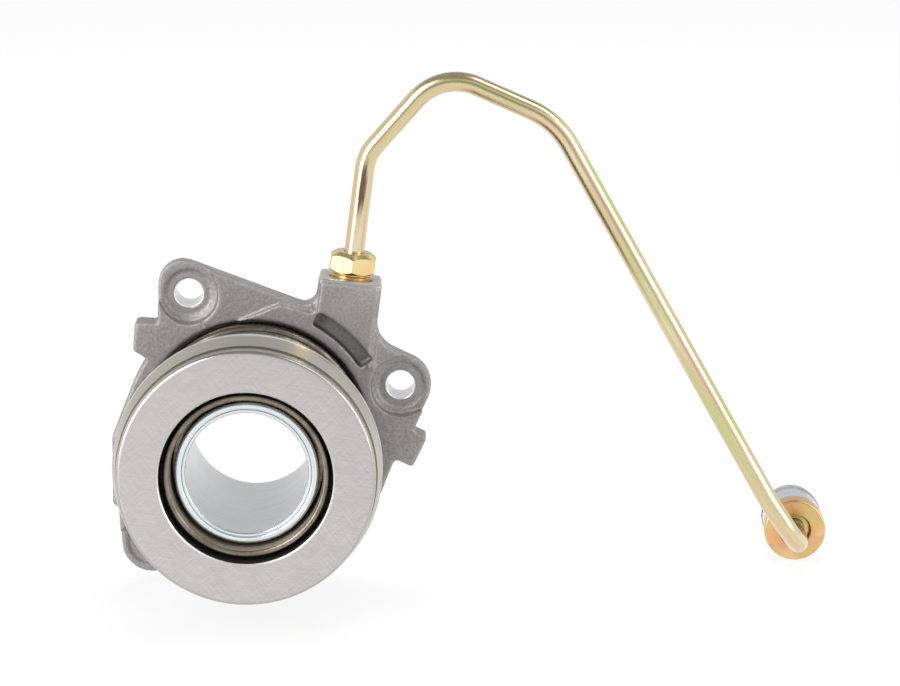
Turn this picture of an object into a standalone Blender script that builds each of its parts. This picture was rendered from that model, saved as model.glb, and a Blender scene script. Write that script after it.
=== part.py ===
"""Concentric slave cylinder with its release bearing and hydraulic pipe.

Metres, +Z up. The cylinder's axis is Y: the release bearing faces -Y and the gearbox is at +Y.
The origin is the centre of the mounting face. A height is a distance in front of that face, so
a piece at height h lies at y = -h. Radii are measured from the Y axis.
"""

from math import acos, atan2, ceil, cos, pi, radians, sin, sqrt, tan

import bmesh
import bpy
from mathutils import Matrix, Vector

# Clearances and roundness
GAP = 0.0003
SAGITTA = 0.00006
WIDEST_STEP = radians(30)
RING_STEPS = 48
INNER_STEPS = 36
SMALL_STEPS = 24

# Guide sleeve, deep drawn, its front end turned inwards
SLEEVE_R = 0.0167
SLEEVE_WALL = 0.0010
SLEEVE_FRONT = 0.0570
SLEEVE_LIP_WIDTH = 0.00245
SLEEVE_BEND = 0.0013
SLEEVE_FLANGE_WIDTH = 0.0037

# Ring in the sleeve's groove that stops the piston at the end of its travel
STOP_BEHIND_LIP = 0.0081
STOP_THICKNESS = 0.0010
STOP_RISE = 0.00075
STOP_GROOVE_DEPTH = 0.0005
STOP_SLOT = 0.0024

# Housing, die cast
CYLINDER_WIDTH = 0.0033
BARREL_WALL = 0.0026
BARREL_FRONT = 0.0300
CHAMBER_FLOOR = 0.0040
BORE_LEAD = 0.0008
SPIGOT_WALL = 0.0028
SPIGOT_DEPTH = 0.0022
PLATE_FRONT = 0.0145
PLATE_BACK = 0.0070
RECESS_FLOOR = 0.0102
RECESS_FILLET = 0.0008
MOUTH_CLEARANCE = 0.0007
MOUTH_WALL = 0.0037
MOUTH_CHAMFER = 0.0005
BODY_STEP = 0.0005
CAST_EDGE = 0.0005
OUTLINE_CORNERS = (0.0008, 0.0010, 0.0030)
VALLEY_RADII = (0.0040, 0.0065)
SEAL_GROOVE_HEIGHT = 0.0012
SEAL_CORD_R = 0.00065

# Bolt ears: the step round each bolt, its seat, its hole and the boss behind it
BOLT_FROM_BODY = 0.0057
EAR_ANGLES = (114.6, 17.6, -132.5)
EAR_R = 0.0073
EAR_FRONT = 0.0110
EAR_STEP_R = 0.0071
BOLT_HOLE_R = 0.0034
BOLT_SEAT_R = 0.0058
BOLT_SEAT_DROP = 0.0005
BOLT_BOSS_R = 0.0059

# Directions, in degrees, that the sides of the ears face
LEFT_EAR_SLOPE = 69.4
LEFT_EAR_SIDE = 180.0
RIGHT_EAR_SIDE = -25.5
RIGHT_EAR_SLOPE = 65.0
LOW_EAR_SIDE = 184.0
LOW_EAR_SLOPE = 288.0

# Lugs on the casting's outline
RIGHT_LUG_OUT = 0.0037
RIGHT_LUG_LENGTH = 0.0081
RIGHT_LUG_FROM_EAR = 0.0083
LEFT_LUG_OUT = 0.0055
LEFT_LUG_LENGTH = 0.0067
LEFT_LUG_FROM_EAR = 0.0067
LEFT_LUG_ANGLE = 144.5
LOW_LUG_OUT = 0.0027
LOW_LUG_TOP = -0.0010
LOW_LUG_LENGTH = 0.0164
BODY_ARC_RIGHT = -38.0
BODY_SIDE_OUT = 0.0026
BODY_SIDE_ANGLES = (-31.0, -18.0)
BODY_ARC_LOW = -104.0
BODY_ARC_LEFT = (149.0, 160.0)

# Webs beside the hydraulic boss and the crescent pocket between the boss and the mouth
WEB_DROP = 0.0009
WEB_ANGLES = (101.9, 78.5)
WEB_OUT = 0.0008
POCKET_WALL = 0.0025
POCKET_WIDTH = 0.0037
POCKET_DEPTH = 0.0031
POCKET_ANGLES = (32.0, 62.0)
POCKET_CORNER = 0.0007

# Hydraulic boss and its port
BOSS_LEAN = 7.4
BOSS_ABOVE_BODY = 0.0084
BOSS_WIDTH = 0.0152
BOSS_RISE = 0.0008
PORT_HEIGHT = 0.0070
PORT_THREAD_R = 0.00485
PORT_DEPTH = 0.0093
PORT_CONE = 0.0017
PORT_DRILL_R = 0.0016
PORT_DRILL_END = 0.0060
PORT_LEAD = 0.0006

# Annular piston, its seal and its wiper
PISTON_LENGTH = 0.0179
PISTON_FLANGE = 0.0020
PISTON_FLANGE_WIDTH = 0.0039
NOSE_WALL = 0.0016
CLIP_GROOVE_DEPTH = 0.0007
CLIP_THICKNESS = 0.0009
CLIP_RISE = 0.0005
SEAL_LENGTH = 0.0044
SEAL_LIP_SHARE = 0.3
SEAL_TAPER = 0.0002
WIPER_WIDTH = 0.0014
WIPER_HEIGHT = 0.0013

# Pressed spring seat and the preload spring
SEAT_WALL = 0.0008
SEAT_SKIRT = 0.0047
SEAT_BEND = 0.0013
WIRE_R = 0.0012
SPRING_CLEARANCE = 0.0018
SPRING_TURNS = 5.5
END_TURNS = 1.0
SPRING_STEPS = 14

# Release bearing: its radii follow from the neck outwards, its distances back from its face
FACE_PAST_LIP = 0.0060
FACE_CLEARANCE = 0.0011
FACE_INSET = 0.0004
FACE_RADIUS = 0.00095
FACE_BAND = 0.0036
FACE_GROOVE = 0.00065
BALL_R = 0.0031
BALL_COUNT = 18
BALL_FROM_NECK = 0.0058
BALL_BEHIND = 0.0116
TRACK_CLEARANCE = 0.0003
RACE_WALL = 0.0021
RACE_SHOULDER = 0.0103
RACE_CORNERS = (0.0012, 0.0016)
THROAT_DEPTH = 0.0020
THROAT_SHOULDER = 0.0008
RACE_PAST_BALLS = 0.0029
SHROUD_WALL = 0.0007
SHROUD_REACH = 0.0020
NECK_BEHIND = 0.0027
NECK_WALL = 0.00135
INNER_PAST_BALLS = 0.0054
INNER_FLANGE_REACH = 0.0013
CAGE_THICKNESS = 0.0013
CAGE_RIM = 0.0014
CAGE_CLEARANCE = 0.0004
NECK_PAST_CAGE = 0.0006
POCKET_CLEARANCE = 0.0004
NOTCH_SIZE = (0.0018, 0.0014, 0.0030)
BALL_SEGMENTS = (10, 7)

# Hydraulic pipe, its bends as (x, z, bend radius) in the plane of the port
PIPE_R = 0.002375
PIPE_WALL = 0.0007
PIPE_RISE = 0.0295
PIPE_FIRST_BEND = 0.0100
PIPE_TOP_BEND = (0.0451, 0.0868, 0.0125)
PIPE_LONG_BEND = (0.0722, 0.0745, 0.0200)
PIPE_LOW_BEND = (0.1240, -0.0184, 0.0120)
PIPE_END = (0.1318, -0.0303)
PIPE_ELBOW = 0.0075
PIPE_STUB = 0.0119
BEND_STEP = radians(11)
FLARE_R = 0.0036
FLARE_LENGTH = 0.0013

# Tube nut
NUT_FLATS = 0.0108
NUT_HEX = 0.0050
NUT_COLLAR = 0.0008
NUT_SHANK = 0.0070
NUT_CROWN = 0.0011
NUT_TOP_R = 0.0043
NUT_TOP_CROWN = 0.0016
NUT_COLLAR_INSET = 0.0003
THREAD_CLEARANCE = 0.0003

# Connector on the pipe's far end
FLANGE_R = 0.0075
FLANGE_THICKNESS = 0.0056
FLANGE_RECESS_R = 0.0039
FLANGE_RECESS_DEPTH = 0.0025
SOCKET_R = 0.0045
SOCKET_DEPTH = 0.0016
CONNECTOR_R = 0.0071
CONNECTOR_LENGTH = 0.0141
CONNECTOR_BORE_R = 0.0016
CONNECTOR_CHAMFER = 0.0008
CONNECTOR_CORD_R = 0.0006
CONNECTOR_GROOVE_FROM_REAR = 0.0025
CONNECTOR_SEAL_RISE = 0.0002

# Room that a cutter keeps beyond the casting
CUTTER_ROOM = 0.0100

# Sizes that follow from the values above
HOUSING_BORE_R = SLEEVE_R + GAP
SLEEVE_BORE_R = SLEEVE_R - SLEEVE_WALL
SLEEVE_FLANGE_R = SLEEVE_R + SLEEVE_FLANGE_WIDTH
SPIGOT_R = SLEEVE_FLANGE_R + GAP + SPIGOT_WALL
CYLINDER_R = SLEEVE_R + CYLINDER_WIDTH
BARREL_R = CYLINDER_R + BARREL_WALL
SPRING_R = BARREL_R + SPRING_CLEARANCE + WIRE_R
MOUTH_R = SPRING_R + WIRE_R + MOUTH_CLEARANCE
BODY_R = MOUTH_R + MOUTH_WALL
BOLT_CIRCLE_R = BODY_R + BOLT_FROM_BODY
BOSS_TOP = BODY_R + BOSS_ABOVE_BODY
PORT_OFFSET = (SLEEVE_R + CYLINDER_R) / 2
PORT_BORE_R = PORT_THREAD_R + THREAD_CLEARANCE
PORT_FLOOR = BOSS_TOP - PORT_DEPTH
POCKET_R = MOUTH_R + POCKET_WALL
STOP_FRONT = SLEEVE_FRONT - STOP_BEHIND_LIP
STOP_BACK = STOP_FRONT - STOP_THICKNESS
STOP_R = SLEEVE_R + STOP_RISE
BEARING_FACE = SLEEVE_FRONT + FACE_PAST_LIP
RACE_REAR = BALL_BEHIND + RACE_PAST_BALLS
INNER_RING_REAR = BALL_BEHIND + INNER_PAST_BALLS
INNER_RING_BACK = BEARING_FACE - INNER_RING_REAR
SEAT_FRONT = INNER_RING_BACK - GAP
SEAT_BACK = SEAT_FRONT - SEAT_WALL
PISTON_R = CYLINDER_R - GAP
PISTON_BORE_R = SLEEVE_R + GAP
SEAL_LIP = SEAL_LIP_SHARE * (PISTON_R - PISTON_BORE_R)
PISTON_SHOULDER = SEAT_BACK - GAP
PISTON_BACK = PISTON_SHOULDER - PISTON_LENGTH
NOSE_R = PISTON_BORE_R + NOSE_WALL
NOSE_FRONT = STOP_BACK - GAP
CLIP_BACK = SEAT_FRONT + GAP
CLIP_FRONT = CLIP_BACK + CLIP_THICKNESS
CLIP_R = NOSE_R + CLIP_RISE
NECK_R = STOP_R + GAP
NECK_OUTER_R = NECK_R + NECK_WALL
TRACK_R = BALL_R + TRACK_CLEARANCE
BALL_CIRCLE_R = NECK_OUTER_R + BALL_FROM_NECK
RACE_R = BALL_CIRCLE_R + TRACK_R + RACE_WALL
FACE_RIM_R = RACE_R - FACE_INSET
FACE_INNER_R = NECK_OUTER_R + FACE_CLEARANCE
SHROUD_INNER_R = BALL_CIRCLE_R + SHROUD_REACH
INNER_FLANGE_R = BALL_CIRCLE_R + INNER_FLANGE_REACH
CAGE_RIM_R = NECK_OUTER_R + CAGE_CLEARANCE
CAGE_FRONT = BALL_BEHIND - TRACK_R
FLANGE_FRONT = PIPE_ELBOW + PIPE_STUB - PORT_HEIGHT


def material(name, colour, roughness, metallic):
    """Make the plain material of one kind of piece."""
    made = bpy.data.materials.new(name)
    made.use_nodes = True
    shader = made.node_tree.nodes["Principled BSDF"]
    shader.inputs["Base Color"].default_value = (*colour, 1.0)
    shader.inputs["Roughness"].default_value = roughness
    shader.inputs["Metallic"].default_value = metallic
    return made


def add_object(name, data):
    """Put a mesh or a curve into the scene."""
    made = bpy.data.objects.new(name, data)
    bpy.context.scene.collection.objects.link(made)
    return made


def finished(name, bm, finish, smooth_angle=35):
    """Turn a closed bmesh into an object, its faces pointing out and its round sides smooth."""
    bmesh.ops.recalc_face_normals(bm, faces=bm.faces)
    if bm.calc_volume(signed=True) < 0:
        bmesh.ops.reverse_faces(bm, faces=bm.faces)
    mesh = bpy.data.meshes.new(name)
    bm.to_mesh(mesh)
    bm.free()
    mesh.materials.append(finish)
    mesh.shade_smooth()
    mesh.set_sharp_from_angle(angle=radians(smooth_angle))
    return add_object(name, mesh)


def spin_profile(bm, profile, steps, centre=(0.0, 0.0)):
    """Turn a closed profile of (radius, height) points about the line along Y through centre.

    A point on the axis only says where the shape ends: one flat face closes it there.
    """
    rings = []
    for radius, height in profile:
        points = [polar_rad(radius, 2 * pi * i / steps, centre) for i in range(steps)]
        verts = [bm.verts.new((x, -height, z)) for x, z in points] if radius > 0 else []
        rings.append(verts)
    for first, second in zip(rings, rings[1:] + rings[:1]):
        if not (first and second):
            if first or second:
                bm.faces.new(first or second)
            continue
        for i in range(steps):
            j = (i + 1) % steps
            bm.faces.new((first[i], first[j], second[j], second[i]))


def turned(name, profile, finish, steps=RING_STEPS):
    """A ring or a shaft turned about the main axis."""
    bm = bmesh.new()
    spin_profile(bm, profile, steps)
    return finished(name, bm, finish)


def add_prism(bm, outline, low, high, edge=0.0):
    """Raise an outline from one height to another, with its front edges rounded."""
    base = bm.faces.new([bm.verts.new((x, -low, z)) for x, z in outline])
    raised = bmesh.ops.extrude_face_region(bm, geom=[base])["geom"]
    top = [part for part in raised if isinstance(part, bmesh.types.BMVert)]
    bmesh.ops.translate(bm, verts=top, vec=(0, low - high, 0))
    if edge:
        front = [part for part in raised if isinstance(part, bmesh.types.BMEdge)]
        bmesh.ops.bevel(bm, geom=front, offset=edge, segments=2, profile=0.5, affect="EDGES")


def prism(name, outline, low, high, finish, edge=0.0):
    """One outline raised from one height to another."""
    bm = bmesh.new()
    add_prism(bm, outline, low, high, edge)
    return finished(name, bm, finish)


def prisms(name, shapes, finish):
    """Several separate outlines, each raised between its own two heights."""
    bm = bmesh.new()
    for outline, low, high in shapes:
        add_prism(bm, outline, low, high)
    return finished(name, bm, finish)


def polar_rad(radius, angle, centre=(0.0, 0.0)):
    """The point at a radius and an angle in radians round a centre."""
    return centre[0] + radius * cos(angle), centre[1] + radius * sin(angle)


def polar(radius, degrees, centre=(0.0, 0.0)):
    """The point at a radius and an angle in degrees round a centre."""
    return polar_rad(radius, radians(degrees), centre)


def arc(centre, radius, start, end):
    """Points on an arc, angles in radians, both ends included."""
    step = min(WIDEST_STEP, 2 * acos(max(0.0, 1 - SAGITTA / radius)))
    count = max(2, ceil(abs(end - start) / step)) + 1
    angles = (start + (end - start) * i / (count - 1) for i in range(count))
    return [polar_rad(radius, angle, centre) for angle in angles]


def rounded(corners, closed=True):
    """A line through (x, z, radius) corners, each corner made round by its radius."""
    line = []
    for i, (x, z, radius) in enumerate(corners):
        end = not closed and i in (0, len(corners) - 1)
        if radius <= 0 or end:
            line.append((x, z))
            continue
        corner = Vector((x, z))
        before = Vector(corners[i - 1][:2]) - corner
        after = Vector(corners[(i + 1) % len(corners)][:2]) - corner
        half = before.angle(after) / 2
        reach = min(radius / tan(half), 0.49 * before.length, 0.49 * after.length)
        radius = reach * tan(half)
        middle = (before.normalized() + after.normalized()).normalized()
        centre = corner + middle * (radius / sin(half))
        first = corner + before.normalized() * reach - centre
        last = corner + after.normalized() * reach - centre
        start = atan2(first.y, first.x)
        turn = (atan2(last.y, last.x) - start + pi) % (2 * pi) - pi
        line += arc(centre, radius, start, start + turn)
    return line


def beside(line, distance):
    """A copy of an open line moved sideways by a distance, to its left."""
    moved = []
    points = [Vector(point) for point in line]
    for i, point in enumerate(points):
        before = (point - points[i - 1]).normalized() if i else None
        after = (points[i + 1] - point).normalized() if i + 1 < len(points) else None
        along = ((before or after) + (after or before)).normalized()
        stretch = along.dot(before or after)
        normal = Vector((-along.y, along.x))
        moved.append(tuple(point + normal * distance / stretch))
    return moved


def meet(point_a, angle_a, point_b, angle_b):
    """Where two lines cross, each given by a point and a direction in degrees."""
    along_a = Vector(polar(1, angle_a))
    along_b = Vector(polar(1, angle_b))
    offset = Vector(point_b) - Vector(point_a)
    reach = offset.cross(along_b) / along_a.cross(along_b)
    return tuple(Vector(point_a) + along_a * reach)


def combine(target, other, operation):
    """Cut a helper shape from a piece, or join it on."""
    other.hide_render = True
    other.display_type = "WIRE"
    modifier = target.modifiers.new(other.name, "BOOLEAN")
    modifier.operation = operation
    modifier.object = other
    modifier.solver = "EXACT"


def port_frame():
    """Matrix of the port: X across the boss and Z up along the port's axis."""
    lean = Matrix.Rotation(radians(BOSS_LEAN), 4, "Y")
    return lean @ Matrix.Translation((PORT_OFFSET, -PORT_HEIGHT, 0))


def in_port(across, up):
    """The (x, z) of a point given across and up along the port's axis."""
    point = port_frame() @ Vector((across, 0, up))
    return point.x, point.z


def ear_centre(index):
    """The centre of one bolt hole."""
    return polar(BOLT_CIRCLE_R, EAR_ANGLES[index])


def ear_corner(index, first_side, second_side):
    """The corner whose rounding is the ear: its sides face the two directions given."""
    half = radians(second_side - first_side) / 2
    middle = (first_side + second_side) / 2
    return (*polar(EAR_R / cos(half), middle, ear_centre(index)), EAR_R)


def housing_outline():
    """The casting's outline, seen from the front, anticlockwise from its lowest point."""
    small, middle, large = OUTLINE_CORNERS
    left_radius, right_radius = VALLEY_RADII
    left, right, low = (ear_centre(i) for i in range(3))
    body = arc((0, 0), BODY_R, radians(BODY_ARC_LOW), radians(BODY_ARC_RIGHT))
    side = polar(EAR_R, RIGHT_EAR_SIDE, right)
    lug_root = polar(-RIGHT_LUG_FROM_EAR, RIGHT_EAR_SIDE + 90, side)
    lug_top = polar(RIGHT_LUG_OUT, RIGHT_EAR_SIDE, lug_root)
    lug_foot = polar(-RIGHT_LUG_LENGTH, RIGHT_EAR_SIDE + 90, lug_top)
    lug_inner = polar(-RIGHT_LUG_OUT - middle, RIGHT_EAR_SIDE, lug_foot)
    boss_side = 90 - BOSS_LEAN
    boss_right = in_port(BOSS_WIDTH / 2, BOSS_TOP)
    boss_left = in_port(-BOSS_WIDTH / 2, BOSS_TOP)
    right_slope = polar(EAR_R, RIGHT_EAR_SLOPE, right)
    left_slope = polar(EAR_R, LEFT_EAR_SLOPE, left)
    right_valley = meet(right_slope, RIGHT_EAR_SLOPE + 90, boss_right, boss_side)
    left_valley = meet(left_slope, LEFT_EAR_SLOPE - 90, boss_left, boss_side)
    left_line = left[0] - EAR_R
    left_top = left[1] - LEFT_LUG_FROM_EAR
    left_out = left_line - LEFT_LUG_OUT
    low_line = -(BODY_R + LOW_LUG_OUT)
    low_foot = LOW_LUG_TOP - LOW_LUG_LENGTH
    low_side = low[0] - EAR_R - GAP
    side_r = BODY_R + BODY_SIDE_OUT
    side_low, side_high = (radians(angle) for angle in BODY_SIDE_ANGLES)
    body_side = arc((0, 0), side_r, side_low, side_high)
    corners = [(*point, 0) for point in body]
    corners.append((*body_side[0], large))
    corners += [(*point, 0) for point in body_side[1:]]
    corners += [
        (*lug_inner, middle),
        (*lug_foot, small),
        (*lug_top, small),
        (*lug_root, small),
        ear_corner(1, RIGHT_EAR_SIDE, RIGHT_EAR_SLOPE),
        (*right_valley, right_radius),
        (*boss_right, middle),
        (*boss_left, middle),
        (*left_valley, left_radius),
        ear_corner(0, LEFT_EAR_SLOPE, LEFT_EAR_SIDE),
        (left_line, left_top, small),
        (left_out, left_top + GAP, middle),
        (left_out - middle / 2, left_top - LEFT_LUG_LENGTH, small),
        (*polar(BODY_R, LEFT_LUG_ANGLE), small),
    ]
    start, end = (radians(angle) for angle in BODY_ARC_LEFT)
    corners += [(*point, 0) for point in arc((0, 0), BODY_R, start, end)]
    corners += [
        (low_line, LOW_LUG_TOP, large),
        (low_line, low_foot, small),
        (low_side, low_foot - small, small),
        ear_corner(2, LOW_EAR_SIDE, LOW_EAR_SLOPE),
    ]
    return rounded(corners)


def boss_outline(inset, foot):
    """The hydraulic boss seen from the front, drawn in on its sides and top."""
    half = BOSS_WIDTH / 2 - inset
    top = BOSS_TOP - inset
    corners = [(half, foot), (half, top), (-half, top), (-half, foot)]
    return rounded([(*in_port(*corner), OUTLINE_CORNERS[0]) for corner in corners])


def boss_face_outline(inset):
    """The raised front of the boss: its foot follows the middle of the crescent pocket."""
    radius = POCKET_R + POCKET_WIDTH / 2
    half = BOSS_WIDTH / 2 - inset
    top = BOSS_TOP - inset
    small = OUTLINE_CORNERS[0]
    right_up = sqrt(radius**2 - (PORT_OFFSET + half) ** 2)
    left_up = sqrt(radius**2 - (PORT_OFFSET - half) ** 2)
    lean = radians(BOSS_LEAN)
    right_angle = atan2(right_up, PORT_OFFSET + half) - lean
    left_angle = atan2(left_up, PORT_OFFSET - half) - lean
    foot = arc((0, 0), radius, left_angle, right_angle)
    corners = [(*in_port(half, top), small), (*in_port(-half, top), small)]
    corners += [(*point, 0) for point in foot]
    return rounded(corners)


def open_slot(centre, radius, direction, length):
    """A slot that starts round a centre and runs out in one direction, in degrees."""
    start, end = radians(direction + 90), radians(direction + 270)
    far = polar(length, direction, centre)
    return arc(centre, radius, start, end) + [
        polar_rad(radius, end, far),
        polar_rad(radius, start, far),
    ]


def crescent(inner, outer, first, last, corner):
    """A curved slot between two radii and two angles, with round corners."""
    inside = arc((0, 0), inner, radians(last), radians(first))
    outside = arc((0, 0), outer, radians(first), radians(last))
    corners = [(*point, 0) for point in inside + outside]
    for index in (0, len(inside) - 1, len(inside), len(corners) - 1):
        corners[index] = (*corners[index][:2], corner)
    return rounded(corners)


def make_housing(cast):
    """The casting: plate with ears, boss, cylinder barrel, spring recess and bores."""
    clear = PLATE_FRONT + CUTTER_ROOM
    overlap = (PLATE_BACK + RECESS_FLOOR) / 2
    outline = housing_outline()
    housing = prism("housing", outline, PLATE_BACK, PLATE_FRONT, cast, CAST_EDGE)
    raised = boss_face_outline(CAST_EDGE + BOSS_RISE / 4)
    boss_front = PLATE_FRONT + BOSS_RISE
    boss = prism("boss_front", raised, overlap, boss_front, cast, BOSS_RISE / 2)
    combine(housing, boss, "UNION")
    bm = bmesh.new()
    for i in range(len(EAR_ANGLES)):
        foot = [(0, 0), (BOLT_BOSS_R, 0), (BOLT_BOSS_R, overlap), (0, overlap)]
        spin_profile(bm, foot, SMALL_STEPS, ear_centre(i))
    add_prism(bm, boss_outline(BODY_STEP / 3, SPIGOT_R), GAP, overlap)
    combine(housing, finished("back_bosses", bm, cast), "UNION")
    cut_ears(housing, cast, clear)
    cut_webs(housing, cast, clear)
    recess = [
        (0, RECESS_FLOOR),
        (MOUTH_R - RECESS_FILLET, RECESS_FLOOR),
        (MOUTH_R, RECESS_FLOOR + RECESS_FILLET),
        (MOUTH_R, PLATE_FRONT - MOUTH_CHAMFER),
        (MOUTH_R + MOUTH_CHAMFER, PLATE_FRONT),
        (MOUTH_R + MOUTH_CHAMFER, clear),
        (0, clear),
    ]
    combine(housing, turned("spring_recess", recess, cast), "DIFFERENCE")
    disc_r = BODY_R - BODY_STEP
    core = [
        (0, -SPIGOT_DEPTH),
        (SPIGOT_R - CAST_EDGE, -SPIGOT_DEPTH),
        (SPIGOT_R, CAST_EDGE - SPIGOT_DEPTH),
        (SPIGOT_R, 0),
        (disc_r, 0),
        (disc_r, overlap),
        (BARREL_R, overlap),
        (BARREL_R, BARREL_FRONT - CAST_EDGE),
        (BARREL_R - CAST_EDGE, BARREL_FRONT),
        (0, BARREL_FRONT),
    ]
    combine(housing, turned("barrel_core", core, cast), "UNION")
    groove_top = SEAL_GROOVE_HEIGHT + 2 * (SEAL_CORD_R + GAP)
    groove_r = HOUSING_BORE_R + 2 * SEAL_CORD_R + GAP
    seat = SLEEVE_WALL + 2 * GAP - SPIGOT_DEPTH
    beyond = BARREL_FRONT + BORE_LEAD
    bore = [
        (0, beyond),
        (CYLINDER_R + 2 * BORE_LEAD, beyond),
        (CYLINDER_R, BARREL_FRONT - BORE_LEAD),
        (CYLINDER_R, CHAMBER_FLOOR),
        (HOUSING_BORE_R, CHAMBER_FLOOR),
        (HOUSING_BORE_R, groove_top),
        (groove_r, groove_top),
        (groove_r, SEAL_GROOVE_HEIGHT),
        (HOUSING_BORE_R, SEAL_GROOVE_HEIGHT),
        (HOUSING_BORE_R, seat),
        (SLEEVE_FLANGE_R + GAP, seat),
        (SLEEVE_FLANGE_R + GAP, -clear),
        (0, -clear),
    ]
    combine(housing, turned("cylinder_bore", bore, cast), "DIFFERENCE")
    cut_port(housing, cast)


def cut_ears(housing, cast, clear):
    """Step each ear down round its bolt, then sink the bolt's seat and drill it."""
    steps = [
        (open_slot(ear_centre(i), EAR_STEP_R, angle, 2 * EAR_R), EAR_FRONT, clear)
        for i, angle in enumerate(EAR_ANGLES)
    ]
    combine(housing, prisms("ear_steps", steps, cast), "DIFFERENCE")
    seat = EAR_FRONT - BOLT_SEAT_DROP
    drill = [
        (0, -clear),
        (BOLT_HOLE_R, -clear),
        (BOLT_HOLE_R, seat),
        (BOLT_SEAT_R, seat),
        (BOLT_SEAT_R, clear),
        (0, clear),
    ]
    bm = bmesh.new()
    for i in range(len(EAR_ANGLES)):
        spin_profile(bm, drill, 24, ear_centre(i))
    combine(housing, finished("bolt_holes", bm, cast), "DIFFERENCE")


def cut_webs(housing, cast, clear):
    """Lower the webs on both sides of the boss, and sink the crescent below it."""
    left, right = ear_centre(0), ear_centre(1)
    half = BOSS_WIDTH / 2
    inside = EAR_STEP_R - CAST_EDGE
    mouth_angle, boss_angle = WEB_ANGLES
    neck_angle = EAR_ANGLES[0]
    left_web = [
        polar(inside, neck_angle + 180, left),
        polar(MOUTH_R - CAST_EDGE, neck_angle),
        polar(MOUTH_R - CAST_EDGE, mouth_angle),
        polar(BODY_R + WEB_OUT, boss_angle),
        in_port(-half, POCKET_R + WEB_OUT),
        in_port(-half - EAR_R, BOSS_TOP * 1.3),
        polar(2 * EAR_R, 75, left),
        polar(inside, 25, left),
    ]
    right_web = [
        in_port(half + GAP, BOSS_TOP * 0.9),
        in_port(half + GAP, BOSS_TOP * 0.54),
        polar(inside, 150, right),
        polar(inside, 70, right),
        polar(2 * EAR_R, 70, right),
    ]
    floor = PLATE_FRONT - WEB_DROP
    shapes = [(left_web, floor, clear), (right_web, floor, clear)]
    combine(housing, prisms("web_steps", shapes, cast), "DIFFERENCE")
    pocket = crescent(POCKET_R, POCKET_R + POCKET_WIDTH, *POCKET_ANGLES, POCKET_CORNER)
    low = PLATE_FRONT - POCKET_DEPTH
    combine(housing, prism("boss_pocket", pocket, low, clear, cast), "DIFFERENCE")


def cut_port(housing, cast):
    """Bore the port for the nut, and drill on from it into the cylinder."""
    lead = PORT_LEAD
    above = BOSS_TOP + lead
    port = [
        (0, -above),
        (PORT_BORE_R + 2 * lead, -above),
        (PORT_BORE_R, lead - BOSS_TOP),
        (PORT_BORE_R, -PORT_FLOOR),
        (PORT_DRILL_R, PORT_CONE - PORT_FLOOR),
        (PORT_DRILL_R, -PORT_DRILL_END),
        (0, -PORT_DRILL_END),
    ]
    made = turned("port_bore", port, cast, 24)
    made.matrix_world = port_frame() @ Matrix.Rotation(pi / 2, 4, "X")
    combine(housing, made, "DIFFERENCE")


def make_sleeve(steel):
    """The drawn tube that guides the piston: front lip turned in, rear flange turned out."""
    wall = SLEEVE_WALL
    rear = GAP - SPIGOT_DEPTH
    groove_r = SLEEVE_R - STOP_GROOVE_DEPTH
    lip_r = SLEEVE_R - SLEEVE_LIP_WIDTH
    corner = SLEEVE_R - SLEEVE_BEND, SLEEVE_FRONT - SLEEVE_BEND
    profile = [
        (SLEEVE_FLANGE_R, rear),
        (SLEEVE_FLANGE_R, rear + wall),
        (SLEEVE_R, rear + wall),
        (SLEEVE_R, STOP_BACK - GAP),
        (groove_r, STOP_BACK - GAP),
        (groove_r, STOP_FRONT + GAP),
        *arc(corner, SLEEVE_BEND, 0, pi / 2),
        (lip_r + wall / 2, SLEEVE_FRONT),
        (lip_r, SLEEVE_FRONT - wall / 2),
        (lip_r, SLEEVE_FRONT - wall),
        *arc(corner, SLEEVE_BEND - wall, pi / 2, 0),
        (SLEEVE_BORE_R, rear + wall / 2),
        (SLEEVE_BORE_R + wall / 2, rear),
    ]
    turned("guide_sleeve", profile, steel, INNER_STEPS)


def cord_profile(radius, height, cord_r, sides=8):
    """The round section of a seal's cord."""
    return [polar_rad(cord_r, 2 * pi * i / sides, (radius, height)) for i in range(sides)]


def make_fixed_rings(steel, rubber):
    """The seal between sleeve and housing, and the ring that stops the piston."""
    height = SEAL_GROOVE_HEIGHT + GAP + SEAL_CORD_R
    cord = cord_profile(HOUSING_BORE_R + SEAL_CORD_R, height, SEAL_CORD_R)
    turned("sleeve_seal_ring", cord, rubber, SMALL_STEPS)
    inner = SLEEVE_R - STOP_GROOVE_DEPTH + GAP / 2
    ring = [
        (inner, STOP_BACK),
        (STOP_R, STOP_BACK),
        (STOP_R, STOP_FRONT),
        (inner, STOP_FRONT),
    ]
    stop = turned("stop_ring", ring, steel, INNER_STEPS)
    half, deep = STOP_SLOT / 2, STOP_R * 1.2
    slot = [(half, 0), (half, -deep), (-half, -deep), (-half, 0)]
    cut = prism("stop_ring_slot", slot, STOP_BACK - GAP, STOP_FRONT + GAP, steel)
    combine(stop, cut, "DIFFERENCE")


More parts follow.
